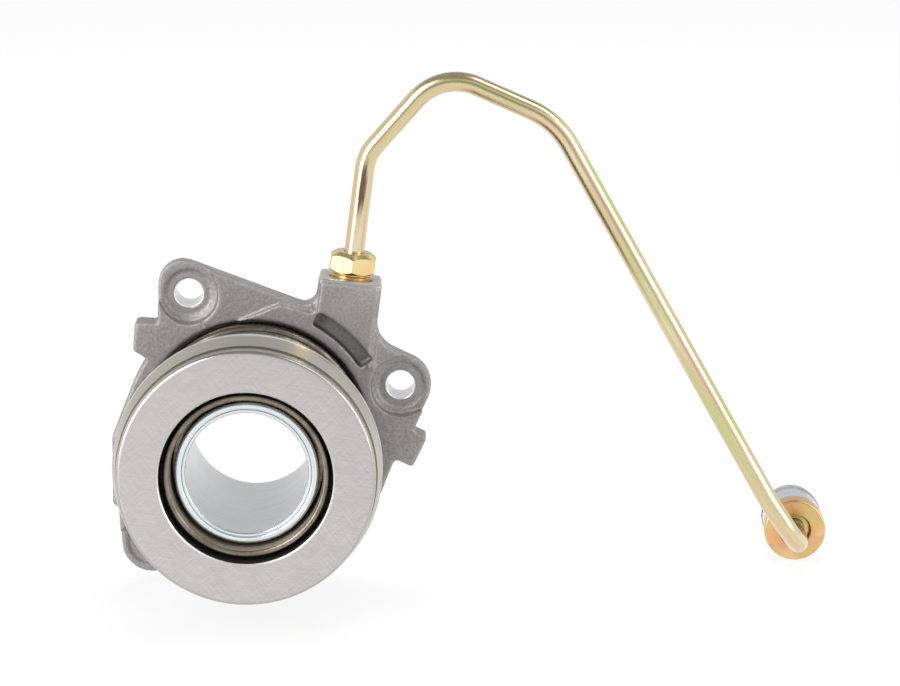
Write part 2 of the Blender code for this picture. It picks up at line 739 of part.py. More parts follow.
def make_piston(plastic, rubber, steel):
    """The annular piston with its seal, its wiper and the clip that holds the spring seat."""
    groove_r = NOSE_R - CLIP_GROOVE_DEPTH
    wiper_r = PISTON_BORE_R + WIPER_HEIGHT
    wiper_front = PISTON_SHOULDER - GAP / 2
    wiper_back = wiper_front - WIPER_WIDTH - 2 * GAP
    shoulder = PISTON_SHOULDER - PISTON_FLANGE
    flange_r = NOSE_R + PISTON_FLANGE_WIDTH
    piston = [
        (PISTON_BORE_R, PISTON_BACK),
        (PISTON_R, PISTON_BACK),
        (PISTON_R, shoulder),
        (flange_r, shoulder),
        (flange_r, PISTON_SHOULDER),
        (NOSE_R, PISTON_SHOULDER),
        (NOSE_R, CLIP_BACK - GAP),
        (groove_r, CLIP_BACK - GAP),
        (groove_r, CLIP_FRONT + GAP),
        (NOSE_R, CLIP_FRONT + GAP),
        (NOSE_R, NOSE_FRONT),
        (PISTON_BORE_R, NOSE_FRONT),
        (PISTON_BORE_R, wiper_front),
        (wiper_r + GAP, wiper_front),
        (wiper_r + GAP, wiper_back),
        (PISTON_BORE_R, wiper_back),
    ]
    turned("piston", piston, plastic, INNER_STEPS)
    wiper = [
        (PISTON_BORE_R, wiper_back + GAP),
        (wiper_r, wiper_back + GAP),
        (wiper_r, wiper_front - GAP),
        (PISTON_BORE_R + SEAL_TAPER, wiper_front - GAP),
    ]
    turned("sleeve_wiper", wiper, rubber, SMALL_STEPS)
    clip = [
        (groove_r + GAP, CLIP_BACK),
        (CLIP_R, CLIP_BACK),
        (CLIP_R, CLIP_FRONT),
        (groove_r + GAP, CLIP_FRONT),
    ]
    turned("seat_retaining_ring", clip, steel, SMALL_STEPS)
    front = PISTON_BACK - GAP
    back = front - SEAL_LENGTH
    seal = [
        (PISTON_BORE_R + SEAL_TAPER, front),
        (PISTON_BORE_R, back + SEAL_TAPER),
        (PISTON_BORE_R + SEAL_LIP, back),
        ((PISTON_BORE_R + PISTON_R) / 2, (front + back) / 2),
        (PISTON_R - SEAL_LIP, back),
        (PISTON_R, back + SEAL_TAPER),
        (PISTON_R - SEAL_TAPER, front),
    ]
    turned("piston_seal", seal, rubber, SMALL_STEPS)


def make_spring_seat(steel):
    """The pressed cup between piston and bearing: its skirt holds the spring's front coil."""
    skirt_r = SPRING_R + WIRE_R + GAP + SEAT_WALL
    middle = [
        (NOSE_R + GAP, SEAT_FRONT, 0),
        (skirt_r, SEAT_FRONT, SEAT_BEND),
        (skirt_r, SEAT_BACK - SEAT_SKIRT, 0),
    ]
    front = rounded(middle, closed=False)
    turned("spring_seat", front + beside(front, -SEAT_WALL)[::-1], steel, INNER_STEPS)


def make_spring(steel):
    """The preload spring: its end turns lie flat and the others rise evenly between them."""
    low = RECESS_FLOOR + GAP + WIRE_R
    high = SEAT_BACK - GAP - WIRE_R
    flat = 2 * WIRE_R + GAP
    free = high - low - 2 * flat * END_TURNS
    curve = bpy.data.curves.new("preload_spring", "CURVE")
    curve.dimensions = "3D"
    curve.bevel_depth = WIRE_R
    curve.bevel_resolution = 1
    curve.use_fill_caps = True
    spline = curve.splines.new("POLY")
    spline.points.add(round(SPRING_TURNS * SPRING_STEPS))
    for i, point in enumerate(spline.points):
        turn = i / SPRING_STEPS
        last = SPRING_TURNS - END_TURNS
        closed = min(turn, END_TURNS) + max(0.0, turn - last)
        rising = min(max(turn - END_TURNS, 0.0), last - END_TURNS)
        height = low + flat * closed + free * rising / (last - END_TURNS)
        x, z = polar_rad(SPRING_R, 2 * pi * turn)
        point.co = (x, -height, z, 1)
    curve.materials.append(steel)
    add_object("preload_spring", curve)


def from_face(points):
    """Turn (radius, distance behind the bearing's face) into (radius, height)."""
    return [(radius, BEARING_FACE - behind) for radius, behind in points]


def track(start, end):
    """The ball track's arc between two angles, as (radius, distance behind the face)."""
    return arc((BALL_CIRCLE_R, BALL_BEHIND), TRACK_R, radians(start), radians(end))


def race_side():
    """The outer ring's side, from the groove behind its face band round to its rear."""
    neck_r = FACE_RIM_R - FACE_GROOVE
    groove_end = FACE_BAND + 2 * FACE_GROOVE
    corners = [
        (neck_r, groove_end, 0),
        (RACE_R, RACE_SHOULDER, RACE_CORNERS[0]),
        (RACE_R, RACE_REAR, RACE_CORNERS[1]),
        (BALL_CIRCLE_R + TRACK_R + GAP, RACE_REAR, 0),
    ]
    return rounded(corners, closed=False)


def make_outer_ring(steel):
    """The turning ring: its flat face meets the clutch, its track lies outside the balls."""
    edge = GAP
    rim_centre = (FACE_RIM_R - FACE_RADIUS, FACE_RADIUS)
    throat = CAGE_FRONT - THROAT_DEPTH
    shoulder = FACE_INNER_R + FACE_RADIUS * 1.5
    profile = [
        (FACE_INNER_R, edge),
        (FACE_INNER_R + edge, 0),
        *arc(rim_centre, FACE_RADIUS, -pi / 2, 0),
        (FACE_RIM_R, FACE_BAND),
        (FACE_RIM_R - FACE_GROOVE, FACE_BAND + FACE_GROOVE),
        *race_side(),
        *track(10, -98),
        (shoulder, CAGE_FRONT - THROAT_SHOULDER),
        (FACE_INNER_R, throat),
    ]
    turned("bearing_outer_ring", from_face(profile), steel)


def make_shroud(steel):
    """The pressed shell that closes the bearing's back: its edge is the widest part."""
    side = race_side()
    side[-1] = (SHROUD_INNER_R, RACE_REAR)
    inner = beside(side, -GAP)
    outer = beside(side, -GAP - SHROUD_WALL)
    turned("bearing_shroud", from_face(inner + outer[::-1]), steel)


def make_inner_ring(steel):
    """The ring that doesn't turn: a neck round the sleeve and a flange behind the balls."""
    edge = GAP
    recess_r = CLIP_R + GAP
    neck_end = CAGE_FRONT + CAGE_RIM + NECK_PAST_CAGE
    recess_start = BEARING_FACE - NOSE_FRONT - 0.0018
    profile = [
        (NECK_R, NECK_BEHIND + edge),
        (NECK_R + edge, NECK_BEHIND),
        (NECK_OUTER_R - edge, NECK_BEHIND),
        (NECK_OUTER_R, NECK_BEHIND + edge),
        (NECK_OUTER_R, neck_end),
        (BALL_CIRCLE_R - TRACK_R - 0.0009, BALL_BEHIND - 0.0010),
        *track(190, 85),
        (INNER_FLANGE_R, BALL_BEHIND + TRACK_R + 0.0001),
        (INNER_FLANGE_R, INNER_RING_REAR - edge),
        (INNER_FLANGE_R - edge, INNER_RING_REAR),
        (recess_r, INNER_RING_REAR),
        (recess_r, recess_start),
        (NECK_R, recess_start - 0.0010),
    ]
    turned("bearing_inner_ring", from_face(profile), steel, INNER_STEPS)


def cage_pockets(finish):
    """The ball pockets, square to the cage's cone, and the notches in its front rim."""
    bm = bmesh.new()
    centre = Matrix.Translation((BALL_CIRCLE_R, BALL_BEHIND - BEARING_FACE, 0))
    rim = Matrix.Translation((CAGE_RIM_R, CAGE_FRONT - BEARING_FACE, 0))
    square = Matrix.Rotation(radians(45), 4, "Z") @ Matrix.Rotation(pi / 2, 4, "X")
    size = Matrix.Diagonal((*NOTCH_SIZE, 1))
    pocket_r = BALL_R + POCKET_CLEARANCE
    for i in range(BALL_COUNT):
        place = Matrix.Rotation(2 * pi * i / BALL_COUNT, 4, "Y")
        between = Matrix.Rotation(2 * pi * (i + 0.5) / BALL_COUNT, 4, "Y")
        bmesh.ops.create_cone(
            bm,
            cap_ends=True,
            segments=12,
            radius1=pocket_r,
            radius2=pocket_r,
            depth=4 * CAGE_THICKNESS,
            matrix=place @ centre @ square,
        )
        bmesh.ops.create_cube(bm, size=1, matrix=between @ rim @ size)
    return finished("cage_pockets", bm, finish)


def make_cage(plastic):
    """The snap-in cage: a flat rim in front and a cone between the tracks, open at the rear."""
    half = CAGE_THICKNESS / 2 / sqrt(2)
    end = (BALL_R - 0.0005) / sqrt(2)
    rise = BALL_BEHIND - CAGE_FRONT
    profile = [
        (CAGE_RIM_R, CAGE_FRONT),
        (BALL_CIRCLE_R - rise + 2 * half, CAGE_FRONT),
        (BALL_CIRCLE_R + end + half, BALL_BEHIND + end - half),
        (BALL_CIRCLE_R + end - half, BALL_BEHIND + end + half),
        (BALL_CIRCLE_R - rise + CAGE_RIM - 2 * half, CAGE_FRONT + CAGE_RIM),
        (CAGE_RIM_R, CAGE_FRONT + CAGE_RIM),
    ]
    cage = turned("cage", from_face(profile), plastic, 2 * BALL_COUNT)
    combine(cage, cage_pockets(plastic), "DIFFERENCE")


def make_balls(steel):
    """The balls, evenly spaced on one circle."""
    for i in range(BALL_COUNT):
        x, z = polar_rad(BALL_CIRCLE_R, -2 * pi * i / BALL_COUNT)
        bm = bmesh.new()
        across, along = BALL_SEGMENTS
        bmesh.ops.create_uvsphere(bm, u_segments=across, v_segments=along, radius=BALL_R)
        ball = finished(f"ball_{i + 1:02d}", bm, steel, 60)
        ball.location = (x, BALL_BEHIND - BEARING_FACE, z)


def bent_route(corners):
    """Points along a bent pipe: straight runs joined by arcs of each corner's radius."""
    route = [corners[0][0]]
    for i in range(1, len(corners) - 1):
        corner, radius = corners[i]
        before = (corners[i - 1][0] - corner).normalized()
        after = (corners[i + 1][0] - corner).normalized()
        half = before.angle(after) / 2
        turn = pi - 2 * half
        centre = corner + (before + after).normalized() * (radius / sin(half))
        first = corner + before * (radius / tan(half)) - centre
        axis = before.cross(after).normalized()
        steps = max(1, ceil(turn / BEND_STEP))
        for j in range(steps + 1):
            route.append(centre + Matrix.Rotation(-turn * j / steps, 3, axis) @ first)
    route.append(corners[-1][0])
    return route


def pipe_corners():
    """The pipe's corners: up from the port, over the top, down the long run to the flange."""

    def at(x, z):
        return Vector((x, -PORT_HEIGHT, z))

    end = FLANGE_FRONT + FLANGE_THICKNESS - SOCKET_DEPTH
    corners = [
        (at(*in_port(0, PORT_FLOOR + GAP)), 0),
        (at(*in_port(0, BOSS_TOP + PIPE_RISE)), PIPE_FIRST_BEND),
    ]
    for x, z, radius in (PIPE_TOP_BEND, PIPE_LONG_BEND, PIPE_LOW_BEND):
        corners.append((at(x, z), radius))
    corners.append((at(*PIPE_END), PIPE_ELBOW))
    corners.append((Vector((PIPE_END[0], end, PIPE_END[1])), 0))
    return corners


def make_pipe(steel):
    """The bent steel tube, hollow, with the flare at its end in the port."""
    route = bent_route(pipe_corners())
    along = (route[1] - route[0]).normalized()
    wide = FLARE_R / PIPE_R
    flare = [(route[0], wide), (route[0] + along * FLARE_LENGTH / 3, wide)]
    flare.append((route[0] + along * FLARE_LENGTH, 1.0))
    places = flare + [(point, 1.0) for point in route[1:]]
    curve = bpy.data.curves.new("hydraulic_pipe", "CURVE")
    curve.dimensions = "3D"
    curve.bevel_depth = PIPE_R
    curve.bevel_resolution = 3
    curve.use_fill_caps = False
    spline = curve.splines.new("POLY")
    spline.points.add(len(places) - 1)
    for point, (place, size) in zip(spline.points, places):
        point.co = (*place, 1)
        point.radius = size
    curve.materials.append(steel)
    wall = add_object("hydraulic_pipe", curve).modifiers.new("wall", "SOLIDIFY")
    wall.thickness = PIPE_WALL
    wall.offset = -1


def make_nut(zinc):
    """The tube nut: a hexagon with turned corners over a collar and a threaded shank."""
    bore = PIPE_R + GAP
    seat = BOSS_TOP + GAP
    hexagon = seat + NUT_COLLAR
    top = hexagon + NUT_HEX
    shank = seat - NUT_SHANK
    corner_r = NUT_FLATS / 2 / cos(pi / 6)
    collar_r = NUT_FLATS / 2 - NUT_COLLAR_INSET
    outer = corner_r + GAP
    crown = NUT_CROWN
    profile = [
        (bore, -top),
        (NUT_TOP_R, -top),
        (outer, NUT_TOP_CROWN - top),
        (outer, -hexagon - crown),
        (collar_r, -hexagon),
        (collar_r, -seat - crown / 2),
        (collar_r - crown / 2, -seat),
        (PORT_THREAD_R, -seat),
        (PORT_THREAD_R, -shank - crown / 2),
        (PORT_THREAD_R - crown / 2, -shank),
        (bore, -shank),
    ]
    nut = turned("tube_nut", profile, zinc, 24)
    outline = [polar(corner_r, 60 * i + 90) for i in range(6)]
    flats = prism("nut_flats", outline, -top - NUT_HEX, NUT_HEX - shank, zinc)
    for made in (nut, flats):
        made.matrix_world = port_frame() @ Matrix.Rotation(pi / 2, 4, "X")
    combine(nut, flats, "INTERSECT")


def at_pipe_end(made):
    """Move a piece that was turned about the main axis to the pipe's far end."""
    made.location = (PIPE_END[0], FLANGE_FRONT, PIPE_END[1])


def make_connector(zinc, bright, seal):
    """The flange that the pipe is brazed into, and the plug-in body with its seal behind it."""
    edge = 0.0004
    thick = FLANGE_THICKNESS
    flange = [
        (FLANGE_RECESS_R, 0),
        (FLANGE_R - edge, 0),
        (FLANGE_R, -edge),
        (FLANGE_R, edge - thick),
        (FLANGE_R - edge, -thick),
        (SOCKET_R, -thick),
        (SOCKET_R, SOCKET_DEPTH - thick),
        (PIPE_R + GAP, SOCKET_DEPTH - thick),
        (PIPE_R + GAP, -FLANGE_RECESS_DEPTH),
        (FLANGE_RECESS_R - edge, -FLANGE_RECESS_DEPTH),
    ]
    at_pipe_end(turned("pipe_flange", flange, zinc, SMALL_STEPS))
    front = -thick - GAP
    rear = front - CONNECTOR_LENGTH
    width = 2 * (CONNECTOR_CORD_R + GAP)
    groove_rear = rear + CONNECTOR_GROOVE_FROM_REAR
    seal_outer = CONNECTOR_R + CONNECTOR_SEAL_RISE
    groove_r = seal_outer - 2 * CONNECTOR_CORD_R - GAP
    spigot_r = SOCKET_R - GAP
    spigot_front = front + SOCKET_DEPTH
    body = [
        (CONNECTOR_BORE_R, spigot_front),
        (spigot_r, spigot_front),
        (spigot_r, front),
        (CONNECTOR_R, front),
        (CONNECTOR_R, groove_rear + width),
        (groove_r, groove_rear + width),
        (groove_r, groove_rear),
        (CONNECTOR_R, groove_rear),
        (CONNECTOR_R, rear + CONNECTOR_CHAMFER),
        (CONNECTOR_R - CONNECTOR_CHAMFER, rear),
        (CONNECTOR_BORE_R, rear),
    ]
    at_pipe_end(turned("connector_body", body, bright, SMALL_STEPS))
    middle = groove_rear + width / 2
    cord = cord_profile(seal_outer - CONNECTOR_CORD_R, middle, CONNECTOR_CORD_R)
    at_pipe_end(turned("connector_seal_ring", cord, seal, SMALL_STEPS))


def main():
    for old in list(bpy.data.objects):
        bpy.data.objects.remove(old)
    cast = material("cast_aluminium", (0.33, 0.32, 0.31), 0.55, 0.85)
    ground = material("ground_steel", (0.62, 0.60, 0.59), 0.28, 1.0)
    oiled = material("oiled_steel", (0.27, 0.24, 0.20), 0.30, 1.0)
    bright = material("bright_zinc", (0.74, 0.79, 0.83), 0.24, 1.0)
    yellow = material("yellow_zinc", (0.83, 0.70, 0.40), 0.27, 1.0)
    nylon = material("black_nylon", (0.02, 0.02, 0.02), 0.50, 0.0)
    rubber = material("seal_rubber", (0.03, 0.03, 0.03), 0.70, 0.0)
    grey = material("grey_seal", (0.35, 0.34, 0.40), 0.60, 0.0)
    make_housing(cast)
    make_sleeve(bright)
    make_fixed_rings(oiled, rubber)
    make_piston(nylon, rubber, oiled)
    make_spring_seat(oiled)
    make_spring(oiled)
    make_outer_ring(ground)
    make_shroud(ground)
    make_inner_ring(oiled)
    make_cage(nylon)
    make_balls(ground)
    make_pipe(yellow)
    make_nut(yellow)
    make_connector(yellow, bright, grey)


main()
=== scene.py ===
"""Looks of the concentric slave cylinder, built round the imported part.

Metres, in the part's own frame: the bearing's axis is Y and its face looks to -Y, +Z is up.
A height is a distance in front of the mounting face, so a point at height h lies at y = -h.
"""

import logging
from dataclasses import dataclass
from enum import Enum
from math import atan2, ceil, cos, hypot, pi, radians, sin, tan
from typing import Callable, Sequence

import bmesh
import bpy
from mathutils import Matrix, Vector


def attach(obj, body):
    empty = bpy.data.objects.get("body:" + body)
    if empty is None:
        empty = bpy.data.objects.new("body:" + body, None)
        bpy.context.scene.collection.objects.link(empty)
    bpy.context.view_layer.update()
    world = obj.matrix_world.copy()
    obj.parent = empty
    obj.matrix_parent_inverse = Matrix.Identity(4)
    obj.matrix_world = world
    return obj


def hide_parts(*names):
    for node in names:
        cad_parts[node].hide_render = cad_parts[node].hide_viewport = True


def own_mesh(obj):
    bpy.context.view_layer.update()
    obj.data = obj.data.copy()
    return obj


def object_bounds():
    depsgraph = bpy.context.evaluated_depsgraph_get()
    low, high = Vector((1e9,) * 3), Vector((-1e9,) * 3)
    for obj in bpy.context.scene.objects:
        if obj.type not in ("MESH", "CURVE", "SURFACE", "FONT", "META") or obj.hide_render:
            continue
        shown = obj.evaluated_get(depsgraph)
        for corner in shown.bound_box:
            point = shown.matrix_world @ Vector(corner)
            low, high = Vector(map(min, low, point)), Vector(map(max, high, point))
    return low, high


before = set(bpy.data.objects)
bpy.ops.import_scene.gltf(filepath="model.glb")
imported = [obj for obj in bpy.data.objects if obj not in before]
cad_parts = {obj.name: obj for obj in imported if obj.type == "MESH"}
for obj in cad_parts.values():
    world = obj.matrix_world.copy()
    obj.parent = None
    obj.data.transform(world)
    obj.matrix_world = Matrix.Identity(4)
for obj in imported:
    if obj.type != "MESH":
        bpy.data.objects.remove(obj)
CAD_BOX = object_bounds()
LOG = logging.getLogger("slave_cylinder")

Point = tuple[float, float]
Corner = tuple[float, float, float]
Colour = tuple[float, float, float]
Socket = bpy.types.NodeSocket

GAP = 0.0003
SLEEVE_R = 0.0167
NOSE_R = 0.0186
SPRING_R = 0.0256
WIRE_R = 0.0012
PIPE_R = 0.002375
BOSS_LEAN = radians(7.4)
BOSS_TOP = 0.0396
PORT_HEIGHT = 0.0070
PORT_OFFSET = 0.01835


class Body(Enum):
    """The bodies of the part that its pieces ride on."""

    FIXED = "housing_group"
    CARRIER = "release_carrier"
    ROTOR = "bearing_rotor"
    CAGE = "ball_cage"


class Slot(Enum):
    """The material slots."""

    CAST = "cast_aluminium"
    GROUND = "ground_steel"
    OILED = "oiled_steel"
    BRIGHT = "bright_zinc"
    YELLOW = "yellow_zinc"
    NYLON = "black_nylon"
    RUBBER = "seal_rubber"
    GREY = "grey_seal"


class Graph:
    """Adds, sets and links the nodes of one shader tree."""

    def __init__(self, tree: bpy.types.NodeTree) -> None:
        """Work on this tree."""
        self.tree = tree

    def feed(self, socket: Socket, value: object) -> None:
        """Link a socket to another one, or set it to a plain value."""
        if isinstance(value, bpy.types.NodeSocket):
            self.tree.links.new(value, socket)
        else:
            socket.default_value = value

    def add(self, kind: str, inputs: dict | None = None, **settings: object) -> bpy.types.Node:
        """Add one node.

        Args:
            kind: The node's type, without the word ShaderNode.
            inputs: Values or sockets for its inputs, by name or number.
            **settings: The node's own properties.

        Returns:
            The new node.
        """
        node = self.tree.nodes.new("ShaderNode" + kind)
        for name, value in settings.items():
            setattr(node, name, value)
        for name, value in (inputs or {}).items():
            self.feed(node.inputs[name], value)
        return node

    def math(self, operation: str, *values: object, clamp: bool = False) -> Socket:
        """One step of arithmetic on numbers or sockets, clamped to 0 to 1 where clamp says so."""
        inputs = dict(enumerate(values))
        return self.add("Math", inputs, operation=operation, use_clamp=clamp).outputs[0]

    def times(self, first: object, second: object) -> Socket:
        """The product of two numbers or sockets."""
        return self.math("MULTIPLY", first, second)

    def plus(self, first: object, second: object) -> Socket:
        """The sum of two numbers or sockets."""
        return self.math("ADD", first, second)

    def reach(self, x: object, z: object) -> Socket:
        """The distance from the Y axis at these coordinates."""
        return self.math("SQRT", self.math("MULTIPLY_ADD", x, x, self.times(z, z)))

    def spread(self, value: object, low: float, high: float) -> Socket:
        """Map low to 0 and high to 1, softly, and clamp."""
        inputs = {"Value": value, "From Min": low, "From Max": high}
        return self.add("MapRange", inputs, interpolation_type="SMOOTHSTEP").outputs["Result"]

    def blend(self, share: object, first: object, second: object) -> Socket:
        """Mix two colours.

        Args:
            share: How much of the second colour.
            first: A colour or socket.
            second: A colour or socket.

        Returns:
            The mixed colour's socket.
        """
        node = self.add("Mix", {0: share}, data_type="RGBA")
        for index, value in ((6, first), (7, second)):
            self.feed(node.inputs[index], (*value, 1.0) if isinstance(value, tuple) else value)
        return node.outputs[2]

    def noise(self, vector: Socket, scale: object, detail: float = 2.0, rough: float = 0.5) -> Socket:
        """Fractal noise at a vector: detail is its octaves, rough the strength of the fine ones."""
        inputs = {"Vector": vector, "Scale": scale, "Detail": detail, "Roughness": rough}
        return self.add("TexNoise", inputs).outputs["Fac"]

    def split(self, vector: Socket) -> list[Socket]:
        """The X, Y and Z of a vector."""
        return list(self.add("SeparateXYZ", {0: vector}).outputs)

    def join(self, x: object, y: object, z: object) -> Socket:
        """A vector from three numbers or sockets."""
        return self.add("CombineXYZ", {0: x, 1: y, 2: z}).outputs[0]

    def place(self) -> Socket:
        """The point on the piece, in metres."""
        return self.add("TexCoord").outputs["Object"]


class Effect:
    """A shader node group that several finishes share."""

    title = "effect"
    sockets_in: dict[str, tuple[str, object]] = {}
    sockets_out: dict[str, str] = {}

    @classmethod
    def tree(cls) -> bpy.types.NodeTree:
        """The group's tree, built the first time it is asked for."""
        made = bpy.data.node_groups.get(cls.title)
        if made:
            return made
        made = bpy.data.node_groups.new(cls.title, "ShaderNodeTree")
        for name, (kind, value) in cls.sockets_in.items():
            socket = made.interface.new_socket(name, in_out="INPUT", socket_type=kind)
            if kind == "NodeSocketFloat":
                socket.default_value = value
        for name, kind in cls.sockets_out.items():
            made.interface.new_socket(name, in_out="OUTPUT", socket_type=kind)
        graph = Graph(made)
        entry = made.nodes.new("NodeGroupInput")
        leave = made.nodes.new("NodeGroupOutput")
        for name, socket in cls.build(graph, entry.outputs).items():
            made.links.new(socket, leave.inputs[name])
        return made

    @classmethod
    def build(cls, graph: Graph, given: object) -> dict[str, Socket]:
        """Fill the group: given holds its inputs, and the outputs come back by name."""
        raise NotImplementedError

    @classmethod
    def use(cls, graph: Graph, **inputs: object) -> dict[str, Socket]:
        """Place the group in a material.

        Args:
            graph: The material's graph.
            **inputs: Values or sockets for the group's inputs.

        Returns:
            Its outputs by name.
        """
        node = graph.tree.nodes.new("ShaderNodeGroup")
        node.node_tree = cls.tree()
        for name, value in inputs.items():
            graph.feed(node.inputs[name], value)
        return {socket.name: socket for socket in node.outputs}


FLOAT = "NodeSocketFloat"
VECTOR = "NodeSocketVector"


class CastGrain(Effect):
    """The pebbled skin of a die casting, with cloudy patches."""

    title = "cast_grain"
    sockets_in = {"Grain": (FLOAT, 1900.0), "Patch": (FLOAT, 110.0)}
    sockets_out = {"Shade": FLOAT, "Height": FLOAT}
    pebble_scale = 0.35
    grain_height = 0.6
    pebble_height = 0.8
    grain_shade = 0.7
    patch_shade = 0.3

    @classmethod
    def build(cls, graph: Graph, given: object) -> dict[str, Socket]:
        """Fine grain for height, grain and patches for shade."""
        place = graph.place()
        grain = graph.noise(place, given["Grain"], 3.0, 0.6)
        pebble = graph.noise(place, graph.times(given["Grain"], cls.pebble_scale), 2.0)
        patch = graph.noise(place, given["Patch"], 3.0)
        height = graph.plus(graph.times(grain, cls.grain_height), graph.times(pebble, cls.pebble_height))
        fine = graph.times(graph.spread(grain, 0.33, 0.67), cls.grain_shade)
        cloud = graph.times(graph.spread(patch, 0.35, 0.68), cls.patch_shade)
        return {"Shade": graph.plus(fine, cloud), "Height": height}


class TurningMarks(Effect):
    """Fine rings left by a lathe, round the line along Y through the piece's origin."""

    title = "turning_marks"
    sockets_in = {"Pitch": (FLOAT, 9000.0), "Waver": (FLOAT, 0.6)}
    sockets_out = {"Line": FLOAT}

    @classmethod
    def build(cls, graph: Graph, given: object) -> dict[str, Socket]:
        """Noise that changes with radius and height, and only slowly round the axis."""
        x, y, z = graph.split(graph.place())
        across = graph.times(graph.reach(x, z), given["Pitch"])
        along = graph.times(y, given["Pitch"])
        angle = graph.times(graph.math("ARCTAN2", x, z), given["Waver"])
        return {"Line": graph.noise(graph.join(across, along, angle), 1.0, 2.0)}


class GrindingLines(Effect):
    """Three crossing sets of fine scratches on a face square to Y."""

    title = "grinding_lines"
    sockets_in = {"Fine": (FLOAT, 5200.0), "Long": (FLOAT, 160.0)}
    sockets_out = {"Line": FLOAT}
    slants = (radians(38), radians(-52), radians(82))

    @classmethod
    def build(cls, graph: Graph, given: object) -> dict[str, Socket]:
        """The mean of stretched noises at each slant."""
        place = graph.place()
        total = 0.0
        for slant in cls.slants:
            inputs = {"Vector": place, "Angle": slant}
            slanted = graph.add("VectorRotate", inputs, rotation_type="Y_AXIS").outputs[0]
            x, y, z = graph.split(slanted)
            scratch = graph.join(graph.times(x, given["Fine"]), y, graph.times(z, given["Long"]))
            total = graph.plus(graph.noise(scratch, 1.0, 1.0), total)
        return {"Line": graph.times(total, 0.3333)}


class ZincBloom(Effect):
    """The drifting tints of yellow chromate, read at a vector that can be stretched."""

    title = "zinc_bloom"
    sockets_in = {"Vector": (VECTOR, None), "Scale": (FLOAT, 1.0)}
    sockets_out = {"Pink": FLOAT, "Green": FLOAT, "Pale": FLOAT}

    @classmethod
    def build(cls, graph: Graph, given: object) -> dict[str, Socket]:
        """Three slow noises, each read at its own place."""
        made = {}
        for name, shift, low, high in (
            ("Pink", (3.1, 0.0, 7.7), 0.46, 0.68),
            ("Green", (11.0, 5.0, 1.3), 0.48, 0.70),
            ("Pale", (0.0, 17.0, 4.1), 0.42, 0.75),
        ):
            moved = graph.add("VectorMath", {0: given["Vector"], 1: shift}, operation="ADD")
            noise = graph.noise(moved.outputs[0], given["Scale"], 2.5)
            made[name] = graph.spread(noise, low, high)
        return made


class OilFilm(Effect):
    """Where a thin brown film of oil lies thicker."""

    title = "oil_film"
    sockets_in = {"Scale": (FLOAT, 150.0)}
    sockets_out = {"Film": FLOAT}
    finer = 6.0
    streak_share = 0.35

    @classmethod
    def build(cls, graph: Graph, given: object) -> dict[str, Socket]:
        """Soft blots with finer streaks in them."""
        place = graph.place()
        blot = graph.times(graph.noise(place, given["Scale"], 3.0), 1.0 - cls.streak_share)
        fine = graph.noise(place, graph.times(given["Scale"], cls.finer), 2.0)
        both = graph.math("MULTIPLY_ADD", fine, cls.streak_share, blot)
        return {"Film": graph.spread(both, 0.38, 0.62)}


class Skin(Graph):
    """The shader tree of one finish, round its Principled shader."""

    def __init__(self, tree: bpy.types.NodeTree) -> None:
        """Work on this tree and its shader."""
        super().__init__(tree)
        self.inputs = tree.nodes["Principled BSDF"].inputs

    def colour(self, value: Socket) -> None:
        """Link the base colour."""
        self.feed(self.inputs["Base Color"], value)

    def over(self, share: Socket, colour: object) -> None:
        """Blend another colour over the base colour so far."""
        self.colour(self.blend(share, self.inputs["Base Color"].links[0].from_socket, colour))

    def rough(self, share: Socket, more: float, least: object) -> None:
        """Let the roughness go from least up by more, as the share goes from 0 to 1."""
        self.feed(self.inputs["Roughness"], self.math("MULTIPLY_ADD", share, more, least))

    def bump(self, height: Socket, depth: float) -> None:
        """Raise the surface by a height from 0 to 1, where 1 stands for the depth in metres."""
        node = self.add("Bump", {"Strength": 1.0, "Distance": depth, "Height": height})
        self.feed(self.inputs["Normal"], node.outputs[0])


@dataclass(frozen=True)
class Finish:
    """What every finish has: its name, main colour, roughness and metallic share."""

    name: str
    colour: Colour
    roughness: float
    metallic: float = 1.0

    def make(self) -> bpy.types.Material:
        """The material, made once.

        Returns:
            A node material with this finish's effects.
        """
        found = bpy.data.materials.get(self.name)
        if found:
            return found
        made = bpy.data.materials.new(self.name)
        made.use_nodes = True
        skin = Skin(made.node_tree)
        skin.inputs["Metallic"].default_value = self.metallic
        self.dress(skin)
        return made

    def dress(self, skin: Skin) -> None:
        """Add the finish's own effects."""
        raise NotImplementedError

    def darker(self, share: float, colour: Colour | None = None) -> Colour:
        """The main colour, or another one, times a share."""
        return tuple(part * share for part in colour or self.colour)

    def shades(self, skin: Skin, share: Socket, dark: float, rougher: float) -> None:
        """Vary colour and roughness together.

        Args:
            skin: The finish's tree.
            share: 0 where the surface is darkest, 1 where it has the main colour.
            dark: The darkest colour, as a share of the main one.
            rougher: How much rougher the dark places are.
        """
        skin.colour(skin.blend(share, self.darker(dark), self.colour))
        skin.rough(skin.math("SUBTRACT", 1.0, share), rougher, self.roughness)


